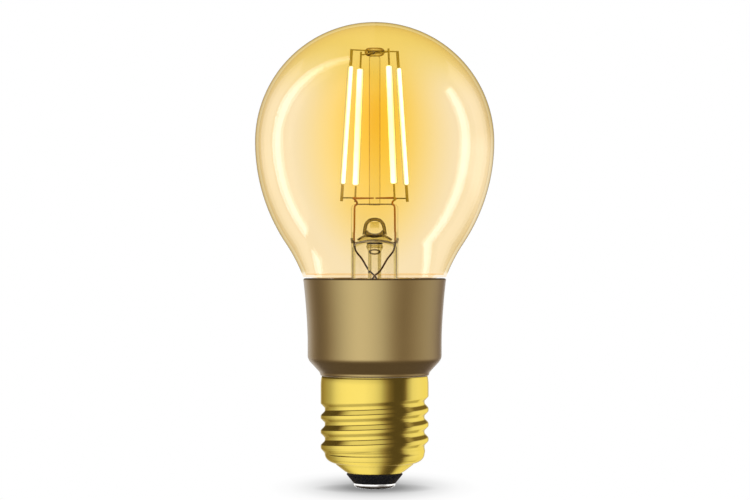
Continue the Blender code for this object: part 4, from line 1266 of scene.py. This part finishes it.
def beside_tab(angle, height):
    middle = (TOP_RADIUS + BOTTOM_RADIUS) / 2
    radius = middle - (height - FILAMENT_MIDDLE) * sin(LEAN) / cos(LEAN)
    return around_axis(radius - TAB_GAP, angle, height)


for i, label in enumerate(("upper", "lower")):
    angle, level = TURN + i * pi / 2, TOP_WIRE_LEVEL - i * TOP_WIRE_STEP
    path = [beside_tab(angle, level), beside_tab(angle + pi, level)]
    piece = wire("bead_wire_" + label, path, WIRE)
    finish(piece, nickel, "nickel_iron", "top_wire_" + label)
for first, label in ((TURN + pi, "left"), (TURN, "right")):
    elbow = around_axis(ELBOW, first - pi / 4, ARM_LEVEL)
    path = [beside_tab(first, ARM_LEVEL), elbow, beside_tab(first - pi / 2, ARM_LEVEL)]
    piece = wire("arm_wire_" + label, path, WIRE)
    finish(piece, copper, "copper", "bottom_wire_" + label)

# %% [markdown]
# A lead wire is welded to each arm, goes down through the press and ends on the driver board. On
# the way the two cross, the right-hand one in front of the exhaust tube and the other one behind
# it. The route is given for the right-hand one, and the other is the same, turned half round, as
# far as the board. The weld is a small bead.

# %% The lead wires
LEAD = 0.23
LEAD_GAP = 0.74
BOARD_X = -1.128
WELD = [(0, 0.3), (0.24, 0.24), (0.38, 0.05), (0.36, -0.15), (0.2, -0.3), (0, -0.34)]

front = -TUBE_RADIUS - LEAD_GAP
press, cavity = PRESS_TOP - PRESS_ROUND, PINCH_BOTTOM - 2.35
crossing = NECK_BOTTOM + (cavity - NECK_BOTTOM) * 0.6
fall = crossing - NECK_BOTTOM
ROUTE = [
    (5.1, 2.9, ARM_LEVEL - 0.1), (4.7, 1.6, ARM_LEVEL - 0.55), (4.35, 0.5, ARM_LEVEL - 1),
    (4.4, 0, PRESS_TOP), (4.78, 0, PRESS_TOP - 0.45), (4.9, 0, press),
    (4.9, 0, (press + cavity) / 2), (4.88, 0, cavity + 2.6), (4.72, 0, cavity),
    (3.102, front * 0.6, (2 * cavity + crossing) / 3),
    (1.41, front, (cavity + 3 * crossing) / 4), (-0.282, front, crossing),
    (BOARD_X, front, crossing - fall / 4), (BOARD_X, front, NECK_BOTTOM + fall / 8),
]
for side, label in ((-1, "left"), (1, "right")):
    path = [(side * x, side * y, z) for x, y, z in ROUTE]
    path += [(side * BOARD_X, 2 - side * 0.87, z) for z in (39.25, 37.7)]
    piece = wire("feed_wire_" + label, smooth_path(path, steps=5), LEAD)
    weld = turned("weld", WELD, steps=24)
    weld.location = Vector((side * 5.1, side * 2.9, ARM_LEVEL - 0.05)) * MM
    fix_place(weld)
    choose(weld, piece)
    bpy.ops.object.join()
    finish(piece, copper, "copper", "lead_wire_" + label)

# %% [markdown]
# ## Inside the collar and the cap
#
# The driver board, the radio and their parts are hidden, and their solids already have the right
# shapes. They stay as they are and get the materials of the real parts.


# %% Hidden parts
BOARDS = "driver_board radio_board"
CHIPS = "bridge_rectifier driver_chip voltage_regulator module_header"
CANS = "input_capacitor output_capacitor"
# Name, dark and light colour, roughness, scale of the pattern, relief, and the solids.
HIDDEN = [
    ("white_plastic", (0.78, 0.78, 0.74), (0.86, 0.86, 0.83), 0.45, 800, 0.1, "driver_liner"),
    ("white_cement", (0.62, 0.58, 0.5), (0.85, 0.83, 0.78), 0.8, 800, 0.5, "neck_cement"),
    ("board_green", (0.02, 0.14, 0.05), (0.04, 0.24, 0.1), 0.35, 800, 0.1, BOARDS),
    ("black_plastic", (0.012,) * 3, (0.03,) * 3, 0.5, 2500, 0.1, CHIPS),
    ("can_sleeve", (0.03, 0.05, 0.09), (0.06, 0.09, 0.15), 0.3, 800, 0.1, CANS),
    ("ferrite", (0.05, 0.05, 0.055), (0.1, 0.1, 0.105), 0.6, 1600, 0.1, "inductor_core"),
    ("resistor_green", (0.07, 0.22, 0.17), (0.12, 0.32, 0.26), 0.4, 800, 0.1, "fuse_resistor"),
    ("wire_white", (0.78,) * 3, (0.88,) * 3, 0.35, 800, 0.1, "neutral_wire"),
    ("wire_black", (0.012,) * 3, (0.03,) * 3, 0.35, 800, 0.1, "live_wire"),
]


def cover(sheet, nodes):
    for node in nodes.split():
        frame["nodes"][node].material_slots[0].material = sheet.owner
    print(sheet.owner.name, "covers", nodes)


for *look, nodes in HIDDEN:
    cover(speckled(*look), nodes)
cover(tin, "radio_shield")
cover(copper, "inductor_winding radio_antenna")

# %% [markdown]
# Each finish mirrors its own surroundings and nothing else, so every piece is hidden from mirrored
# rays. The strip lamps on the glass aren't meshes and stay visible to them.

# %% What is mirrored
for piece in scene.objects:
    if piece.type == "MESH" and not piece.name.endswith("surroundings"):
        piece.visible_glossy = False
